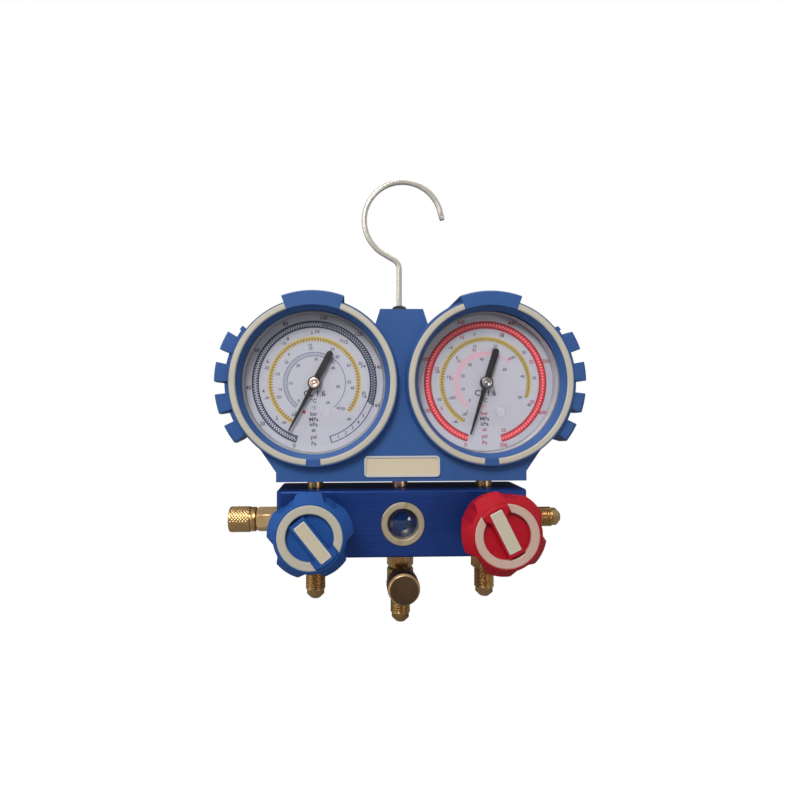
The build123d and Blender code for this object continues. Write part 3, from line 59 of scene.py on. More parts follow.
SIDES = ("low", "high")

# ---- Photograph's view ------------------------------------------------------------------------------
IMAGE_SIZE = 799                       # pixels, square
FOCAL_PX = 519.0
CENTRE_PX = (363.5, 405.9)             # where the camera's axis meets the picture
CAMERA_AT = Vector((-28.9, -311.0, 63.2)) * MM
CAMERA_YAW, CAMERA_PITCH, CAMERA_ROLL = 1.62, 0.10, 0.18      # degrees
SENSOR = 36.0
CLIP_START, CLIP_END = 0.01, 20

# ---- Colours, as sRGB bytes, in pairs of a main shade and the one mixed into it -----------------------
CASING_BLUE = (58, 96, 156), (48, 86, 146)
WHEEL_BLUE = (34, 84, 156), (28, 74, 142)
WHEEL_RED = (186, 12, 34), (170, 8, 26)
BLOCK_BLUE = (22, 56, 132), (34, 72, 146)
CREAM = (204, 198, 182), (190, 184, 166)
LOW_BAND = (194, 188, 172), (182, 176, 158)
HIGH_BAND = (206, 176, 160), (196, 162, 146)
CASE_GREY = (176, 176, 182), (160, 160, 168)
BLACK = (26, 20, 22), (20, 20, 22)
RUBBER_BLACK = (26, 26, 27), (18, 18, 19)
BRASS = (222, 182, 126), (202, 158, 102)
# Lighter, less metallic brass: painted light that brightens the hose adapter, and the painted highlight on
# the service cap's rim
BRASS_PAINTED_LIGHT = (232, 196, 142), (214, 172, 116)
PALE_BRASS = (222, 206, 176), (204, 184, 148)
# Cap brass darkened as painted shade: the dark reflection of the dim room in front of the service cap
CAP_BRASS_PAINTED_DARK = (128, 102, 78), (108, 84, 62)
COPPER = (224, 182, 158), (204, 160, 136)
HUB_COPPER = (234, 206, 190), (222, 190, 172)
STEEL = (186, 182, 178), (140, 134, 130)
NICKEL = (234, 228, 214), (218, 208, 192)
DIAL_GREY = (168, 168, 175), (168, 168, 177)
SIGHT_BLUE = (14, 56, 120), (8, 30, 66)
PLATE_BORDER, PLATE_FIELD = (208, 207, 212), (222, 208, 180)
BAR_BORDER, BAR_FIELD = (214, 208, 196), (206, 194, 168)
WINDOW_CLEAR = (250, 250, 252)
PLUG_CLEAR = (222, 220, 226)
INKS = {
    "navy": (28, 38, 62), "black": (40, 40, 48), "red": (206, 58, 66), "dark_red": (142, 24, 36),
    "light_red": (238, 122, 116), "gold": (170, 150, 84), "dark_gold": (128, 106, 46),
    "blue_grey": (98, 104, 122), "pink": (206, 124, 138),
}


# ---- Materials ----------------------------------------------------------------------------------------
def linear(colour):
    """Linear RGBA of an sRGB colour given in bytes."""
    return [((c / 255 + 0.055) / 1.055) ** 2.4 if c > 10 else c / 3294 for c in colour] + [1.0]


class Finish:
    """A node material on one Principled shader, with procedural detail added step by step."""

    def __init__(self, name, colour, roughness=0.5, metallic=0.0, **sockets):
        self.material = bpy.data.materials.new(name)
        self.material.use_nodes = True
        self.tree = self.material.node_tree
        self.shader = self.tree.nodes["Principled BSDF"]
        self.shader.inputs["Base Color"].default_value = linear(colour)
        self.shader.inputs["Roughness"].default_value = roughness
        self.shader.inputs["Metallic"].default_value = metallic
        for socket, value in sockets.items():
            self.shader.inputs[socket.replace("_", " ")].default_value = value
        self.coordinates = self.add("ShaderNodeTexCoord")
        self.normal = None

    def add(self, kind, **settings):
        node = self.tree.nodes.new(kind)
        for name, value in settings.items():
            setattr(node, name, value)
        return node

    def link(self, output, socket):
        self.tree.links.new(output, socket)

    def noise(self, size, stretch=(1, 1, 1), detail=3.0):
        """Noise with features of about a size in metres, drawn out along axes by stretch."""
        mapping = self.add("ShaderNodeMapping")
        mapping.inputs["Scale"].default_value = [1 / s for s in stretch]
        self.link(self.coordinates.outputs["Object"], mapping.inputs["Vector"])
        noise = self.add("ShaderNodeTexNoise")
        noise.inputs["Scale"].default_value = 1 / size
        noise.inputs["Detail"].default_value = detail
        self.link(mapping.outputs["Vector"], noise.inputs["Vector"])
        return noise.outputs["Fac"]

    def spread(self, value, low, high, start=0.3, end=0.7):
        """A value between start and end as one between low and high."""
        ranged = self.add("ShaderNodeMapRange")
        self.link(value, ranged.inputs["Value"])
        for socket, number in zip(("From Min", "From Max", "To Min", "To Max"), (start, end, low, high)):
            ranged.inputs[socket].default_value = number
        return ranged.outputs["Result"]

    def tint(self, factor, colour):
        """Mixes another colour over the base by a factor."""
        mix = self.add("ShaderNodeMix", data_type="RGBA")
        base = self.shader.inputs["Base Color"]
        if base.links:
            self.link(base.links[0].from_socket, mix.inputs[6])
        else:
            mix.inputs[6].default_value = base.default_value
        mix.inputs[7].default_value = linear(colour)
        self.link(factor, mix.inputs[0])
        self.link(mix.outputs[2], base)
        return self

    def rough(self, value, low, high):
        self.link(self.spread(value, low, high), self.shader.inputs["Roughness"])
        return self

    def soften(self, radius):
        """Rounds sharp edges in the shading by a radius in metres."""
        bevel = self.add("ShaderNodeBevel", samples=4)
        bevel.inputs["Radius"].default_value = radius
        self.normal = bevel.outputs["Normal"]
        self.link(self.normal, self.shader.inputs["Normal"])
        return self

    def bump(self, height, depth):
        """Bumps of a depth in metres over what shapes the normal so far."""
        bump = self.add("ShaderNodeBump")
        bump.inputs["Strength"].default_value = 1.0
        bump.inputs["Distance"].default_value = depth
        self.link(height, bump.inputs["Height"])
        if self.normal:
            self.link(self.normal, bump.inputs["Normal"])
        self.normal = bump.outputs["Normal"]
        self.link(self.normal, self.shader.inputs["Normal"])
        return self


def moulded(name, shades, roughness, edge=0.35 * MM, specular=0.5):
    """Moulded plastic: fine spark-eroded grain, soft edges and faint handling marks."""
    colour, darker = shades
    clouds, marks, ripples, grain = 18 * MM, 1.5 * MM, 5 * MM, 0.45 * MM
    finish = Finish(name, colour, roughness, Specular_IOR_Level=specular)
    finish.tint(finish.spread(finish.noise(clouds), 0.0, 0.5), darker)
    finish.rough(finish.noise(marks), roughness - 0.07, roughness + 0.1)
    finish.soften(edge)
    return finish.bump(finish.noise(grain, detail=2), 0.012 * MM).bump(finish.noise(ripples), 0.02 * MM)


def machined(name, shades, roughness, edge=0.15 * MM, depth=0.002 * MM, metallic=1.0):
    """Turned or milled metal with stains, and with worn edges and fine tool marks unless they are 0."""
    colour, darker = shades
    stains, patches, tool_marks = 6 * MM, 5 * MM, 0.6 * MM
    finish = Finish(name, colour, roughness, metallic)
    finish.tint(finish.spread(finish.noise(stains), 0.0, 0.6), darker)
    finish.rough(finish.noise(patches), roughness - 0.03, roughness + 0.04)
    if edge:
        finish.soften(edge)
    if depth:
        finish.bump(finish.noise(tool_marks, detail=1), depth)
    return finish


MATT = 0.25                            # specular level of the casing's and the wheels' plastic
casing = moulded("casing_plastic", CASING_BLUE, 0.48, specular=MATT)
wheel_blue = moulded("wheel_blue", WHEEL_BLUE, 0.5, 0.6 * MM, MATT)
wheel_red = moulded("wheel_red", WHEEL_RED, 0.5, 0.6 * MM, MATT)
cream = moulded("glow_cream", CREAM, 0.5)
bands = {"low": moulded("low_band", LOW_BAND, 0.5), "high": moulded("high_band", HIGH_BAND, 0.5)}
inner_case = moulded("gauge_case", CASE_GREY, 0.35)
black_plastic = moulded("black_plastic", BLACK, 0.4, 0.2 * MM)
rubber = moulded("black_rubber", RUBBER_BLACK, 0.7, 0.2 * MM)
brass = machined("brass", BRASS, 0.28)
brass_fine = machined("brass_fine", BRASS, 0.3, 0, 0)
copper = machined("copper", COPPER, 0.3)
hub_copper = machined("hub_copper", HUB_COPPER, 0.35)
steel = machined("steel", STEEL, 0.3)
brass_painted_light = machined("brass_painted_light", BRASS_PAINTED_LIGHT, 0.34, 0, 0, 0.6)
pale_brass = machined("pale_brass", PALE_BRASS, 0.32, metallic=0.7)
nickel = machined("hook_nickel", NICKEL, 0.3, 0, 0, 0.5)
cap_brass_painted_dark = machined("cap_brass_painted_dark", CAP_BRASS_PAINTED_DARK, 0.38, 0, 0)

# Anodised and brushed along the block: each noise is drawn out along x
block_blue = Finish("anodised_block", BLOCK_BLUE[0], 0.4, 0.5)
block_blue.tint(block_blue.spread(block_blue.noise(0.5 * MM, (60, 1, 1), 4), 0.0, 0.9), BLOCK_BLUE[1])
block_blue.rough(block_blue.noise(0.7 * MM, (40, 1, 1)), 0.3, 0.48)
block_blue.soften(1.0 * MM).bump(block_blue.noise(0.25 * MM, (90, 1, 1)), 0.012 * MM)


def inlay(name, node, length, width, angle, rim, border, field):
    """Moulded plate, turned by degrees, with a raised rim of one colour round a field of another."""
    blur, rim_height = 0.15 * MM, 0.1 * MM
    finish = moulded(name, (border, tuple(c - 12 for c in border)), 0.45)
    low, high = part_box(node)
    middle = (low + high) / 2
    offset = finish.add("ShaderNodeVectorMath", operation="SUBTRACT")
    offset.inputs[1].default_value = middle
    finish.link(finish.coordinates.outputs["Object"], offset.inputs[0])
    turned_back = finish.add("ShaderNodeVectorRotate", rotation_type="Y_AXIS")
    turned_back.inputs["Angle"].default_value = radians(angle)
    finish.link(offset.outputs[0], turned_back.inputs["Vector"])
    size = finish.add("ShaderNodeVectorMath", operation="ABSOLUTE")
    finish.link(turned_back.outputs[0], size.inputs[0])
    split = finish.add("ShaderNodeSeparateXYZ")
    finish.link(size.outputs[0], split.inputs["Vector"])
    both = finish.add("ShaderNodeMath", operation="MULTIPLY")
    for socket, axis, half in ((0, "X", length / 2 - rim), (1, "Z", width / 2 - rim)):
        within = finish.spread(split.outputs[axis], 1, 0, half - blur, half + blur)
        finish.link(within, both.inputs[socket])
    inside = both.outputs[0]
    border_step = finish.add("ShaderNodeMath", operation="SUBTRACT")
    border_step.inputs[0].default_value = 1.0
    finish.link(inside, border_step.inputs[1])
    return finish.tint(inside, field).bump(border_step.outputs[0], rim_height)


PLATE_RIM, BAR_RIM = 1.1 * MM, 0.8 * MM
BAR_L, BAR_W = 21.9 * MM, 6.5 * MM
BAR_ANGLES = {"low": -51.8, "high": 116.7}        # of the wheels' grips
plate_low, plate_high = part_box("name_plate")
plate_l, plate_w = plate_high.x - plate_low.x, plate_high.z - plate_low.z
plate = inlay("name_plate", "name_plate", plate_l, plate_w, 0, PLATE_RIM, PLATE_BORDER, PLATE_FIELD)
bars = {
    side: inlay(f"{side}_bar", f"{side}_handwheel_bar", BAR_L, BAR_W, angle, BAR_RIM, BAR_BORDER, BAR_FIELD)
    for side, angle in BAR_ANGLES.items()
}

dial_paint = Finish("dial_paint", DIAL_GREY[0], 0.5)
dial_paint.tint(dial_paint.spread(dial_paint.noise(25 * MM), 0.0, 0.6), DIAL_GREY[1])
dial_paint.bump(dial_paint.noise(0.25 * MM), 0.003 * MM)


def ink(name, colour):
    """Screen-printed ink, slightly uneven."""
    finish = Finish(name, colour, 0.45)
    lighter = tuple(min(255, c + 26) for c in colour)
    return finish.tint(finish.spread(finish.noise(0.7 * MM), 0.0, 0.7), lighter)


inks = {name: ink(f"ink_{name}", colour) for name, colour in INKS.items()}

glass = Finish("clear_window", WINDOW_CLEAR, 0.02, Transmission_Weight=1.0, IOR=1.49)
glass.bump(glass.noise(30 * MM), 0.02 * MM)
plug_plastic = Finish("window_plug", PLUG_CLEAR, 0.2, Transmission_Weight=0.7, IOR=1.3)
plug_plastic.bump(plug_plastic.noise(1 * MM), 0.01 * MM)
sight = Finish("sight_glass", SIGHT_BLUE[0], 0.08, Coat_Weight=1.0, Coat_Roughness=0.05)
sight.tint(sight.spread(sight.noise(7 * MM), 0.0, 1.0), SIGHT_BLUE[1])
sight.bump(sight.noise(9 * MM), 0.05 * MM)

looks = {
    "manifold_block": block_blue, "front_casing": casing, "rear_casing": casing, "casing_screws": steel,
    "name_plate": plate, "casing_bolt": copper, "casing_spacer": copper, "sight_glass_bezel": pale_brass,
    "sight_glass_lens": sight, "sight_glass_seal": rubber, "charging_tee": brass, "valve_core_body": brass,
    "valve_core_pin": steel, "side_port_fitting": brass, "side_adapter": brass, "swivel_nut": brass,
    "port_cap": brass, "port_cap_gasket": rubber, "hook": nickel, "hook_nut": steel,
    "hook_collar": black_plastic, "window_plugs": plug_plastic,
}
each_side = {
    "glow_ring": cream, "bonnet": brass, "port_fitting": brass, "case": inner_case, "window": glass,
    "dial": dial_paint, "socket": brass, "bourdon_tube": brass, "movement_frame": brass,
    "sector_gear": brass, "link": steel, "pinion": steel, "pointer": black_plastic,
    "handwheel_screw": steel, "stem": steel, "piston": brass,
}
for side in SIDES:
    looks.update({f"{side}_{node}": finish for node, finish in each_side.items()})
    looks.update({f"{side}_handwheel_bar": bars[side], f"{side}_handwheel_ring": bands[side]})
looks.update({"low_handwheel": wheel_blue, "high_handwheel": wheel_red})
for name, finish in looks.items():
    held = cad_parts[name].data.materials
    held.clear()
    held.append(finish.material)
for clear in ("low_window", "high_window", "window_plugs"):
    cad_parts[clear].visible_shadow = False


# ---- Mesh helpers -------------------------------------------------------------------------------------
def piece(name, vertices, faces, finish, body, slot=None, smooth=30.0):
    """A mesh piece of the object that rides on a CAD body."""
    mesh = bpy.data.meshes.new(name)
    mesh.from_pydata([tuple(v) for v in vertices], [], faces)
    mesh.validate()
    mesh.materials.append(finish.material)
    if smooth:
        mesh.polygons.foreach_set("use_smooth", [True] * len(mesh.polygons))
        mesh.set_sharp_from_angle(angle=radians(smooth))
    made = bpy.data.objects.new(name, mesh)
    bpy.context.scene.collection.objects.link(made)
    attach(made, body)
    return made


def centre_of(node):
    """Middle of a CAD node's box."""
    low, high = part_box(node)
    return (low + high) / 2


SEGMENTS = 144
ANGLES = np.linspace(0, 2 * pi, SEGMENTS, endpoint=False)


def hexagon(across):
    """Radius of a hexagon at each angle, with flats that face the front and the back."""
    return across / 2 / np.cos(ANGLES % (pi / 3) - pi / 6)


def hex_section(start, end, across, bevel=0.7 * MM):
    """Rows of a hexagon with both rims turned off at 30 degrees."""
    flat, half = across / 2, bevel / 2
    rim, middle, full = (np.minimum(hexagon(across), flat + rise) for rise in (0, 0.9 * half, 2.2 * bevel))
    return [
        (start, rim), (start + half, middle), (start + bevel, full),
        (end - bevel, full), (end - half, middle), (end, rim),
    ]


def in_mm(*rows):
    """Rows in metres of (distance, radius) rows given in millimetres."""
    return [(distance * MM, radius * MM) for distance, radius in rows]


def stepped(origin, radius, profile, way=1):
    """Rows of (distance from an origin, step down from a radius) pairs given in millimetres."""
    return [(origin + way * distance * MM, radius - step * MM) for distance, step in profile]


def thread_section(start, end, radius, pitch=1.27 * MM, depth=0.68 * MM, per_pitch=12):
    """Rows of an outside thread whose helix runs out at both ends."""
    rows = []
    steps = round((end - start) / pitch * per_pitch)
    for i in range(steps + 1):
        at = start + (end - start) * i / steps
        groove = 0.5 - 0.5 * np.cos(2 * pi * at / pitch - ANGLES)
        fade = min(1.0, (at - start) / (0.6 * pitch) + 0.15, (end - at) / (0.9 * pitch))
        rows.append((at, radius - depth * groove * max(fade, 0.0)))
    return rows


def turned(name, rows, start, direction, finish, body, slot=None, smooth=50.0):
    """A mesh of (distance, radius) rows about the line from start along a direction."""
    axis = Vector(direction).normalized()
    first = Vector((0, 0, 1)) if abs(axis.z) < 0.5 else Vector((1, 0, 0))
    second = axis.cross(first)
    vertices, faces = [], []
    for distance, radius in rows:
        centre = Vector(start) + axis * distance
        for angle, r in zip(ANGLES, np.broadcast_to(radius, SEGMENTS)):
            vertices.append(centre + first * (cos(angle) * r) + second * (sin(angle) * r))
    for row in range(len(rows) - 1):
        here, there = row * SEGMENTS, (row + 1) * SEGMENTS
        for i in range(SEGMENTS):
            j = (i + 1) % SEGMENTS
            faces.append((here + i, here + j, there + j, there + i))
    faces.append(tuple(reversed(range(SEGMENTS))))
    faces.append(tuple(range((len(rows) - 1) * SEGMENTS, len(rows) * SEGMENTS)))
    return piece(name, vertices, faces, finish, body, slot, smooth)


# ---- Flare fittings with cut threads -------------------------------------------------------------------
THREAD_R, NOSE_R, TIP_R, BORE_R = 5.55 * MM, 4.9 * MM, 2.7 * MM, 2.0 * MM
NOSE_L, BORE_L = 2.4 * MM, 9 * MM
PORT_THREAD_L, TEE_THREAD_L = 10.2 * MM, 10.6 * MM
HEX_ACROSS, ADAPTER_ACROSS = 13 * MM, 12 * MM
PORT_HEX_L, SIDE_HEX_L, TEE_HEX_L, ADAPTER_HEX_L = 10 * MM, 7 * MM, 9 * MM, 12.5 * MM
SPIGOT_R, SPIGOT_L = 4.5 * MM, 2 * MM             # hidden end in the block
RELIEF_R, RELIEF_L = 4.8 * MM, 0.8 * MM           # groove between a hexagon and its thread
# Profiles as (distance, radius) in millimetres
TEE_BODY = (9, 6.2), (10, 7.1), (11, 7.5), (20.5, 7.5), (22, 7.1), (23.2, 6.2), (23.5, 4.8), (24.2, 4.8)
TEE_BODY_L = 24.2 * MM
BRANCH_NECK = (0, 6.4), (7.4, 6.4), (8, 5.9), (8, 4.8), (8.7, 4.8)
BRANCH_THREAD = 8.7 * MM, 17.5 * MM               # its start and end
BRANCH_TIP = (20.3, 2.75), (20.3, 2.4), (19, 2.35)
DOWN, LEFT, RIGHT, FRONT = (0, 0, -1), (-1, 0, 0), (1, 0, 0), (0, -1, 0)


def flare_rows(base, length):
    """Rows of a male flare from its thread's start to the bottom of its bore."""
    neck = base + length + THREAD_R - NOSE_R
    tip = neck + NOSE_L + NOSE_R - TIP_R
    return thread_section(base, base + length, THREAD_R) + [
        (neck, NOSE_R), (neck + NOSE_L, NOSE_R), (tip, TIP_R), (tip + 0.05 * MM, BORE_R + 0.3 * MM),
        (tip - 0.3 * MM, BORE_R), (tip - BORE_L, BORE_R),
    ]


def hexed_rows(length, across=HEX_ACROSS, bevel=0.7 * MM):
    """Rows of a spigot in the block and the hexagon outside it."""
    return [(-SPIGOT_L, SPIGOT_R), (0, SPIGOT_R)] + hex_section(0, length, across, bevel)


def port_rows(hex_length):
    """Rows of a hose port from its spigot to the bottom of its bore."""
    base = hex_length + RELIEF_L
    relief = [(hex_length, RELIEF_R), (base, RELIEF_R)]
    return hexed_rows(hex_length) + relief + flare_rows(base, PORT_THREAD_L)


block_low, block_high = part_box("manifold_block")
port_y = centre_of("side_port_fitting").y
branch_z = centre_of("port_cap").z
for side in SIDES:
    x, y = centre_of(f"{side}_port_fitting").xy
    rows = port_rows(PORT_HEX_L)
    fitting = turned(f"{side}_flare_port", rows, (x, y, block_low.z), DOWN, brass_fine, "manifold", "brass")
    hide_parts(f"{side}_port_fitting")
rows = port_rows(SIDE_HEX_L)
fitting = turned("side_flare_port", rows, (block_high.x, port_y, 0), RIGHT, brass_fine, "manifold", "brass")
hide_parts("side_port_fitting")

# Charging tee: hexagon, forged body and lower flare, then the capped branch in front
rows = hexed_rows(TEE_HEX_L) + in_mm(*TEE_BODY) + flare_rows(TEE_BODY_L, TEE_THREAD_L)
tee = turned("tee_run", rows, (0, port_y, block_low.z), DOWN, brass_fine, "manifold", "brass")
rows = in_mm(*BRANCH_NECK) + thread_section(*BRANCH_THREAD, THREAD_R) + in_mm(*BRANCH_TIP)
turned("tee_branch", rows, (0, port_y, branch_z), FRONT, brass_fine, "manifold", "brass")
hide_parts("charging_tee")

# ---- Knurled swivel nut, adapter and cap ---------------------------------------------------------------
# Profiles as (distance, step down from the outside) in millimetres, from the end named
NUT_HOLE = 0.05 * MM, 3.6 * MM                    # (distance, radius) where the adapter passes in
NUT_COLLAR = (0, 1.1), (0.5, 0.5), (2.5, 0.5), (2.9, 0.9), (3.2, 0.9), (3.5, 0.2)
KNURL_MARGINS = 3.8 * MM, 0.9 * MM                # plain lengths before and after the knurl
KNURL_STEPS = 56
NUT_CHAMFER = (0.4, 0.3), (0, 0.7)
NUT_MOUTH = (0, 5.5), (0.6, 4.95), (9.3, 4.95)    # (depth, radius) of the bore
# Profile of the adapter's neck and shoulder beyond its hexagon, as (distance, radius) in millimetres
ADAPTER_NECK = (12.5, 3.5), (17, 3.5), (17, 4.8), (18.3, 4.8), (18.3, 2.6), (17.5, 2.0), (9, 2.0)
CAP_MOUTH = (1.5, 5.6), (0.1, 5.6), (0, 6.2)      # (distance, radius)
CAP_BACK = (0, 0.6), (0.5, 0.25)
CAP_KNURL = 1.0 * MM, 2.2 * MM                    # its distances from the back and the front
CAP_RIDGES, CAP_RIDGE_DEPTH = 32, 0.28 * MM
CAP_FRONT = (1.6, 0.3), (0.5, 0.8), (0.1, 1.2), (0, 1.6), (0.2, 2.0), (0.2, 6.2), (0.05, 6.5)
CAP_DIMPLE = (0.05, 1.0), (0.2, 0.4)              # (depth, radius)
RIM_LIFT, FACE_LIFT = 0.03 * MM, 0.06 * MM


def diamond_knurl(at, cells=26, lead=1.7 * MM, depth=0.45 * MM):
    """Depth of a crossed knurl at each angle and a distance along the axis."""
    one = (ANGLES / (2 * pi) * cells + at / lead) % 1.0
    two = (ANGLES / (2 * pi) * cells - at / lead) % 1.0
    return depth * np.maximum(np.abs(one - 0.5), np.abs(two - 0.5)) * 2


nut_low, nut_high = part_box("swivel_nut")
nut_length, nut_r = nut_high.x - nut_low.x, (nut_high.z - nut_low.z) / 2
rows = [NUT_HOLE] + stepped(0, nut_r, NUT_COLLAR)
for at in np.linspace(KNURL_MARGINS[0], nut_length - KNURL_MARGINS[1], KNURL_STEPS + 1):
    rows.append((at, nut_r - diamond_knurl(at)))
rows += stepped(nut_length, nut_r, NUT_CHAMFER, -1)
rows += [(nut_length - depth * MM, radius * MM) for depth, radius in NUT_MOUTH]
nut = turned("hose_nut", rows, (nut_high.x, port_y, 0), LEFT, brass_fine, "swivel_nut", "brass")
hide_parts("swivel_nut")

# The adapter takes the lighter brass, painted light that makes it brighter than the other brass
rows = hexed_rows(ADAPTER_HEX_L, ADAPTER_ACROSS, 0.9 * MM) + in_mm(*ADAPTER_NECK)
adapter = turned("hose_adapter", rows, (block_low.x, port_y, 0), LEFT, brass_painted_light, "manifold", "brass")
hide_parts("side_adapter")

cap_low, cap_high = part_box("port_cap")
cap_r, cap_length = (cap_high.x - cap_low.x) / 2, cap_high.y - cap_low.y
straight_knurl = CAP_RIDGE_DEPTH * (0.5 + 0.5 * np.cos(ANGLES * CAP_RIDGES))
front = stepped(cap_length, cap_r, CAP_FRONT, -1)
rows = in_mm(*CAP_MOUTH) + stepped(0, cap_r, CAP_BACK)
rows += [(CAP_KNURL[0], cap_r - straight_knurl), (cap_length - CAP_KNURL[1], cap_r - straight_knurl)]
rows += front + [(cap_length - depth * MM, radius * MM) for depth, radius in CAP_DIMPLE]
# The cap's body and its face skin take the darkened brass, a painted dark reflection on its front
cap = turned("service_cap", rows, (0, cap_high.y, branch_z), FRONT, cap_brass_painted_dark, "port_cap", "brass")
# Painted highlight: a ring of lighter brass on the cap's front chamfer, with a skin of the darkened brass
# over the face inside it
for name, finish, band, lift in (
    ("cap_rim_painted_highlight", brass_painted_light, front[:4], RIM_LIFT),
    ("cap_face", cap_brass_painted_dark, front[2:4], FACE_LIFT),
):
    skin = [(distance + lift, radius + lift) for distance, radius in band]
    turned(name, skin, (0, cap_high.y, branch_z), FRONT, finish, "port_cap", "brass")
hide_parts("port_cap")

# ---- Hook: wire swept smoothly through its two bends ----------------------------------------------------
WIRE_R, ROUND_R, BEND_R, LEG = 1.5 * MM, 22 * MM, 6 * MM, 4.9 * MM
ROUND_START, ROUND_END = radians(240), radians(14)
WIRE_BEVEL = 0.3 * MM
SHANK_STEPS, BEND_STEPS, ROUND_STEPS, RINGS = 30, 24, 160, 24
hook_low, hook_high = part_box("hook")
hook_y = (hook_low.y + hook_high.y) / 2


def on_circle(middle, radius, angles):
    """Points of a circle at some angles."""
    return np.array(middle) + radius * np.column_stack([np.cos(angles), np.sin(angles)])


round_centre = (hook_low.x + ROUND_R + WIRE_R, hook_high.z - ROUND_R - WIRE_R)
round_part = on_circle(round_centre, ROUND_R, np.linspace(ROUND_START, ROUND_END, ROUND_STEPS))
bend = ROUND_START - pi
bend_foot = round_part[0][1] + round_part[0][0] / tan(ROUND_START) - BEND_R * tan(bend / 2)
shank = np.linspace((0, hook_low.z), (0, bend_foot), SHANK_STEPS)[:-1]
lower_bend = on_circle((-BEND_R, bend_foot), BEND_R, np.linspace(0, bend, BEND_STEPS))
path = np.vstack([shank, lower_bend, round_part])
along = np.array([sin(ROUND_END), -cos(ROUND_END)])
path = np.vstack([path, path[-1] + along * (LEG - WIRE_BEVEL), path[-1] + along * LEG])
radii = np.full(len(path), WIRE_R)
radii[-1] -= WIRE_BEVEL
tangents = np.gradient(path, axis=0)
tangents /= np.linalg.norm(tangents, axis=1)[:, None]
vertices, faces = [], []
for (x, z), (dx, dz), radius in zip(path, tangents, radii):
    for k in range(RINGS):
        across, out = radius * cos(2 * pi * k / RINGS), radius * sin(2 * pi * k / RINGS)
        vertices.append((x - dz * across, hook_y + out, z + dx * across))
for row in range(len(path) - 1):
    for k in range(RINGS):
        j = (k + 1) % RINGS
        faces.append((row * RINGS + k, (row + 1) * RINGS + k, (row + 1) * RINGS + j, row * RINGS + j))
faces += [tuple(range(RINGS)), tuple(reversed(range(len(vertices) - RINGS, len(vertices))))]
wire = piece("hook_wire", vertices, faces, nickel, "hook", "hook_steel", 50)
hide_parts("hook")

# ---- Dial prints, in millimetres and in degrees from level on the right ---------------------------------
SCALE_START, SCALE_END = 252.0, -74.0             # zero and end of the outer scales
ARC_STEP = 3
DIAL_PLANS = {
    "low": {
        "numbers": "black", "inner": "blue_grey", "end": -20.0, "marks": 8, "outer_step": 20, "next_step": 2,
        "gold_end": -38.5, "double_end": 46.0, "inner_end": -52.0, "rung": 0.35,
    },
    "high": {
        "numbers": "dark_red", "inner": "pink", "end": -74.0, "marks": 7, "outer_step": 100, "next_step": 5,
        "gold_end": -19.0, "double_end": 82.0, "inner_end": 38.0, "rung": 0.15,
    },
}
# Unit names in a column under the hub, with their drop and ink
UNITS = (
    ("°C", 10.0, "black"), ("°F", 14.1, "inner"), ("bar", 17.2, "numbers"), ("MPa", 20.3, "black"),
    ("kPa", 23.2, "black"), ("at", 26.2, "numbers"), ("psi", 30.0, "numbers"), ("Pa", 33.8, "numbers"),
)


class Print:
    """Flat ink shapes just in front of a dial, in polar places about its centre."""

    BOLDER = 0.02                      # share of its size by which lettering is thickened

    def __init__(self, side):
        low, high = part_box(f"{side}_dial")
        self.side = side
        self.centre = Vector(((low.x + high.x) / 2, low.y, (low.z + high.z) / 2))
        self.printed = {}
        plan = DIAL_PLANS[side]
        self.inks = {**inks, "numbers": inks[plan["numbers"]], "inner": inks[plan["inner"]]}

    def at(self, radius, angle, lift):
        """Place at a radius, an angle and a lift off the dial."""
        a = radians(angle)
        return self.centre + Vector((radius * MM * cos(a), -lift * MM, radius * MM * sin(a)))

    def add(self, ink_name, corners, polygons):
        """Adds polygons of some corners to what is printed in one ink."""
        vertices, faces = self.printed.setdefault(self.inks[ink_name], ([], []))
        first = len(vertices)
        vertices.extend(corners)
        faces.extend(tuple(first + i for i in polygon) for polygon in polygons)

    def arc(self, ink_name, inner, outer, start, end, lift=0.03):
        """Band from a start angle clockwise to an end angle."""
        steps = max(2, round(abs(start - end) / ARC_STEP))
        for i in range(steps):
            a, b = (start + (end - start) * k / steps for k in (i, i + 1))
            places = (inner, a), (outer, a), (outer, b), (inner, b)
            self.add(ink_name, [self.at(radius, angle, lift) for radius, angle in places], [range(4)])

    def ticks(self, ink_name, inner, outer, start, end, count, width, lift=0.05):
        """Radial strokes at even steps, one more than a count."""
        for i in range(count + 1):
            angle = start + (end - start) * i / count
            side = Vector((-sin(radians(angle)), 0, cos(radians(angle)))) * (width * MM) / 2
            near, far = self.at(inner, angle, lift), self.at(outer, angle, lift)
            self.add(ink_name, [near - side, far - side, far + side, near + side], [range(4)])

    def text(self, ink_name, words, radius, angle, size, lift=0.05):
        """Upright lettering centred on a polar place."""
        self.text_at(ink_name, words, self.at(radius, angle, lift), size)

    def text_at(self, ink_name, words, spot, size):
        """Upright lettering centred on a spot."""
        curve = bpy.data.curves.new("lettering", "FONT")
        curve.body, curve.size, curve.offset = words, size * MM, size * MM * self.BOLDER
        curve.align_x = curve.align_y = "CENTER"
        curve.resolution_u = 2
        holder = bpy.data.objects.new("lettering", curve)
        mesh = bpy.data.meshes.new_from_object(holder)
        mesh.transform(Matrix.Translation(spot) @ Matrix.Rotation(pi / 2, 4, "X"))
        self.add(ink_name, [v.co.copy() for v in mesh.vertices], [tuple(p.vertices) for p in mesh.polygons])
        bpy.data.objects.remove(holder)
        bpy.data.curves.remove(curve)
        bpy.data.meshes.remove(mesh)

    def finish(self):
        """Makes one piece of each ink."""
        for finish, (vertices, faces) in self.printed.items():
            name = f"{self.side}_dial_{finish.material.name}"
            piece(name, vertices, faces, finish, "manifold", "dial_plate", 0)


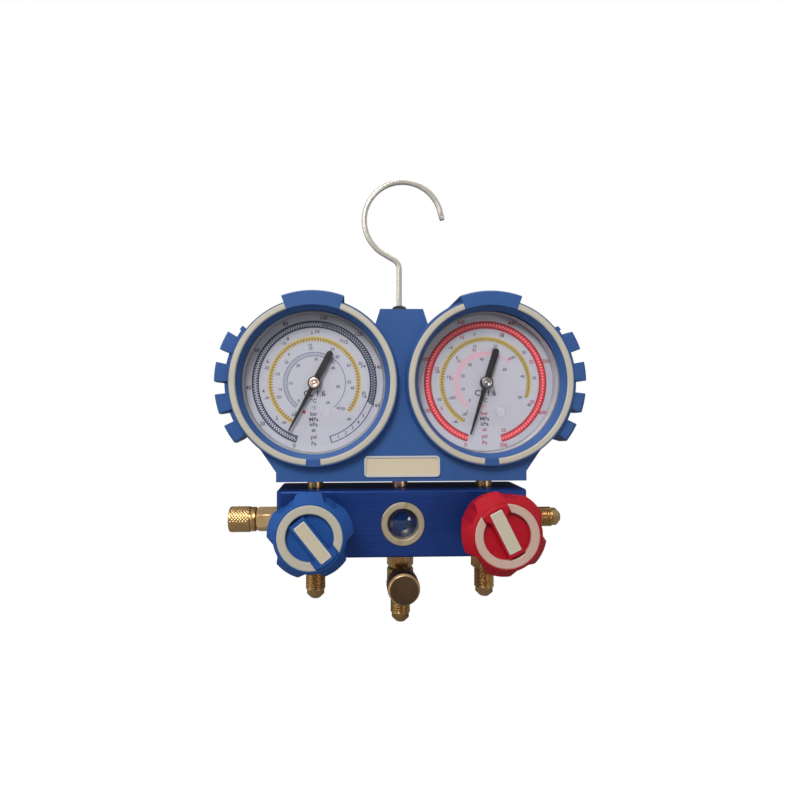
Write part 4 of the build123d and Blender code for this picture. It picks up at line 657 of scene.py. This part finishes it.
def low_pressure_scale(dial, end):
    """Dark rails with a chequer of fine divisions between them, and a numbered tail of thin lines."""
    for inner, outer in ((34.0, 34.9), (30.9, 31.8)):
        dial.arc("navy", inner, outer, SCALE_START, end)
    dial.ticks("navy", 33.1, 34.3, SCALE_START, end, 108, 0.8)
    dial.ticks("navy", 31.6, 32.7, SCALE_START - 1.25, end + 1.25, 107, 0.75)
    dial.ticks("navy", 32.3, 33.5, SCALE_START - 170, end, 80, 0.5)
    for inner, outer in ((34.3, 34.8), (30.7, 31.2)):
        dial.arc("navy", inner, outer, end, SCALE_END)
    dial.ticks("navy", 30.7, 34.8, SCALE_START, SCALE_END, 1, 0.6)
    for i, digit in enumerate("54321"):
        dial.text("black", digit, 32.8, -34 - 8 * i, 2.6)


def high_pressure_scale(dial, end):
    """Red band with dark rails and a chequer of fine divisions."""
    dial.arc("red", 30.8, 34.6, SCALE_START, end, 0.02)
    for inner, outer in ((33.9, 34.8), (30.5, 31.4)):
        dial.arc("dark_red", inner, outer, SCALE_START, end)
    dial.ticks("dark_red", 33.3, 34.2, SCALE_START, end, 108, 0.75)
    dial.ticks("dark_red", 31.1, 32.0, SCALE_START - 1.3, end + 1.3, 107, 0.7)
    dial.ticks("light_red", 32.1, 33.3, SCALE_START - 1.9, end + 1.9, 107, 0.6)


for side, pressure_scale in (("low", low_pressure_scale), ("high", high_pressure_scale)):
    dial, plan = Print(side), DIAL_PLANS[side]
    end, marks = plan["end"], plan["marks"]
    pressure_scale(dial, end)
    for i in range(marks + 1):
        angle = SCALE_START + (end - SCALE_START) * i / marks
        dial.text("numbers", str(plan["outer_step"] * i), 36.7, angle, 3.0)
        if i:
            dial.text("numbers", str(plan["next_step"] * i), 28.7, angle + 5, 2.8)
    # Middle temperature scale
    gold_start, gold_end = SCALE_START - 12, plan["gold_end"]
    dial.arc("gold", 23.7, 26.1, gold_start, gold_end)
    dial.arc("dark_gold", 24.4, 25.0, gold_start, gold_end, 0.04)
    dial.ticks("dark_gold", 23.2, 25.4, gold_start, gold_end, 72, 0.75)
    for i in range(9):
        angle = gold_start + (gold_end - gold_start) * i / 8
        dial.text("black", str(10 * i - 40), 27.9, angle - 8, 2.3)
        dial.text("black", str(10 * i - 30), 21.4, angle - 4, 2.3)
    # Inner temperature scale, a double line that runs on as a single one
    inner_start, inner_end, double_end = SCALE_START - 20, plan["inner_end"], plan["double_end"]
    dial.arc("inner", 17.0, 17.5, inner_start, inner_end)
    dial.arc("inner", 15.0, 15.5, inner_start, double_end)
    dial.ticks("inner", 15.4, 17.1, inner_start, double_end, 64, plan["rung"])
    for i in range(7):
        angle = inner_start + (inner_end - inner_start) * i / 6
        dial.text("black", str(10 * i), 13.3, angle - 4, 2.3)
        dial.text("numbers", str(10 * i + 5), 19.4, angle + 6, 2.3)
    # Accuracy class and units under the hub
    dial.text("black", "CL 1.6", 5.9, -90, 4.6)
    for words, drop, ink_name in UNITS:
        dial.text_at(ink_name, words, dial.centre + Vector((-0.5, -0.05, -drop)) * MM, 3.1)
    if side == "low":
        dial.arc("dark_red", 16.2, 18.0, 253, 247, 0.04)
    dial.finish()

# ---- Polished discs on the pointers' hubs --------------------------------------------------------------
# Profile as (distance, radius) in millimetres
HUB_PROFILE = (
    (-0.2, 2.9), (0.15, 2.9), (0.3, 2.6), (0.3, 1.5), (0.1, 1.3), (0.1, 0.8), (0.35, 0.6), (0.4, 0.1),
)
for side, finish, slot in (("low", hub_copper, "brass"), ("high", steel, "steel")):
    hub = centre_of(f"{side}_pinion")
    hub.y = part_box(f"{side}_pointer")[0].y
    turned(f"{side}_hub_disc", in_mm(*HUB_PROFILE), hub, FRONT, finish, f"{side}_pointer_shaft", slot)


# ---- Floor, world light and lamps ---------------------------------------------------------------------
FLOOR_HALF, FLOOR_GAP = 3.0, 1 * MM
FLOOR_WHITE = 0.32                     # share of the light that the floor gives back to the object
ROOM_SIDES, ROOM_FRONT = 0.5, 0.04     # strengths of the room's light
SIDES_TO, FRONT_FROM = 0.15, 0.85      # how far a direction faces front or back where each is reached


def white_to_camera(tree, lit, shown, output):
    """Shows the camera one shader and everything else another."""
    path = tree.nodes.new("ShaderNodeLightPath")
    mix = tree.nodes.new("ShaderNodeMixShader")
    tree.links.new(path.outputs["Is Camera Ray"], mix.inputs[0])
    tree.links.new(lit.outputs[0], mix.inputs[1])
    tree.links.new(shown.outputs[0], mix.inputs[2])
    tree.links.new(mix.outputs[0], tree.nodes[output].inputs["Surface"])


floor_material = bpy.data.materials.new("stage_white")
floor_material.use_nodes = True
tree = floor_material.node_tree
matt = tree.nodes["Principled BSDF"]
matt.inputs["Base Color"].default_value = (FLOOR_WHITE, FLOOR_WHITE, FLOOR_WHITE, 1)
matt.inputs["Roughness"].default_value = 0.9
matt.inputs["Specular IOR Level"].default_value = 0.0
shown = tree.nodes.new("ShaderNodeEmission")
shown.inputs["Color"].default_value = (1, 1, 1, 1)
white_to_camera(tree, matt, shown, "Material Output")

floor_z = cad_box[0].z - FLOOR_GAP
corners = [(x * FLOOR_HALF, y * FLOOR_HALF, floor_z) for x, y in ((-1, -1), (1, -1), (1, 1), (-1, 1))]
floor_mesh = bpy.data.meshes.new("floor")
floor_mesh.from_pydata(corners, [], [(0, 1, 2, 3)])
floor_mesh.materials.append(floor_material)
made = bpy.data.objects.new("floor", floor_mesh)
bpy.context.scene.collection.objects.link(made)

world = bpy.data.worlds.new("studio")
bpy.context.scene.world = world
world.use_nodes = True
tree = world.node_tree
# A room bright at the sides and overhead and dim in front and behind
room = tree.nodes["Background"]
room.inputs["Color"].default_value = (1, 1, 1, 1)
toward = tree.nodes.new("ShaderNodeTexCoord")
split = tree.nodes.new("ShaderNodeSeparateXYZ")
facing = tree.nodes.new("ShaderNodeMath")
facing.operation = "ABSOLUTE"
light = tree.nodes.new("ShaderNodeMapRange")
limits = {"From Min": SIDES_TO, "From Max": FRONT_FROM, "To Min": ROOM_SIDES, "To Max": ROOM_FRONT}
for socket, number in limits.items():
    light.inputs[socket].default_value = number
tree.links.new(toward.outputs["Generated"], split.inputs["Vector"])
tree.links.new(split.outputs["Y"], facing.inputs[0])
tree.links.new(facing.outputs[0], light.inputs["Value"])
tree.links.new(light.outputs["Result"], room.inputs["Strength"])
shown = tree.nodes.new("ShaderNodeBackground")
shown.inputs["Color"].default_value = (1, 1, 1, 1)
white_to_camera(tree, room, shown, "World Output")

LAMPS = (                              # name, place, diameter, watts
    ("key", (-0.3, -0.8, 0.72), 0.45, 7.9),
    ("fill", (0.6, -0.8, 0.0), 0.3, 1.3),
    ("left", (-0.9, -0.35, 0.2), 0.6, 1.4),
    ("back", (0.15, 0.35, 1.0), 0.5, 2.5),
)
middle = (cad_box[0] + cad_box[1]) / 2
for name, place, size, power in LAMPS:
    data = bpy.data.lights.new(name, "AREA")
    data.shape, data.size, data.energy = "DISK", size, power
    lamp = bpy.data.objects.new(name, data)
    lamp.location = place
    lamp.rotation_euler = (middle - Vector(place)).to_track_quat("-Z", "Y").to_euler()
    bpy.context.scene.collection.objects.link(lamp)

# ---- Camera --------------------------------------------------------------------------------------------
camera = bpy.data.objects.new("camera", bpy.data.cameras.new("camera"))
camera.data.sensor_width = SENSOR
camera.data.lens = FOCAL_PX / IMAGE_SIZE * SENSOR
camera.data.shift_x = (IMAGE_SIZE / 2 - CENTRE_PX[0]) / IMAGE_SIZE
camera.data.shift_y = (CENTRE_PX[1] - IMAGE_SIZE / 2) / IMAGE_SIZE
camera.data.clip_start, camera.data.clip_end = CLIP_START, CLIP_END
turn = Matrix.Rotation(radians(-CAMERA_YAW), 4, "Z") @ Matrix.Rotation(radians(90 + CAMERA_PITCH), 4, "X")
camera.matrix_world = Matrix.Translation(CAMERA_AT) @ turn @ Matrix.Rotation(radians(-CAMERA_ROLL), 4, "Z")
bpy.context.scene.collection.objects.link(camera)
bpy.context.scene.camera = camera
bpy.context.scene.view_settings.view_transform = "Standard"
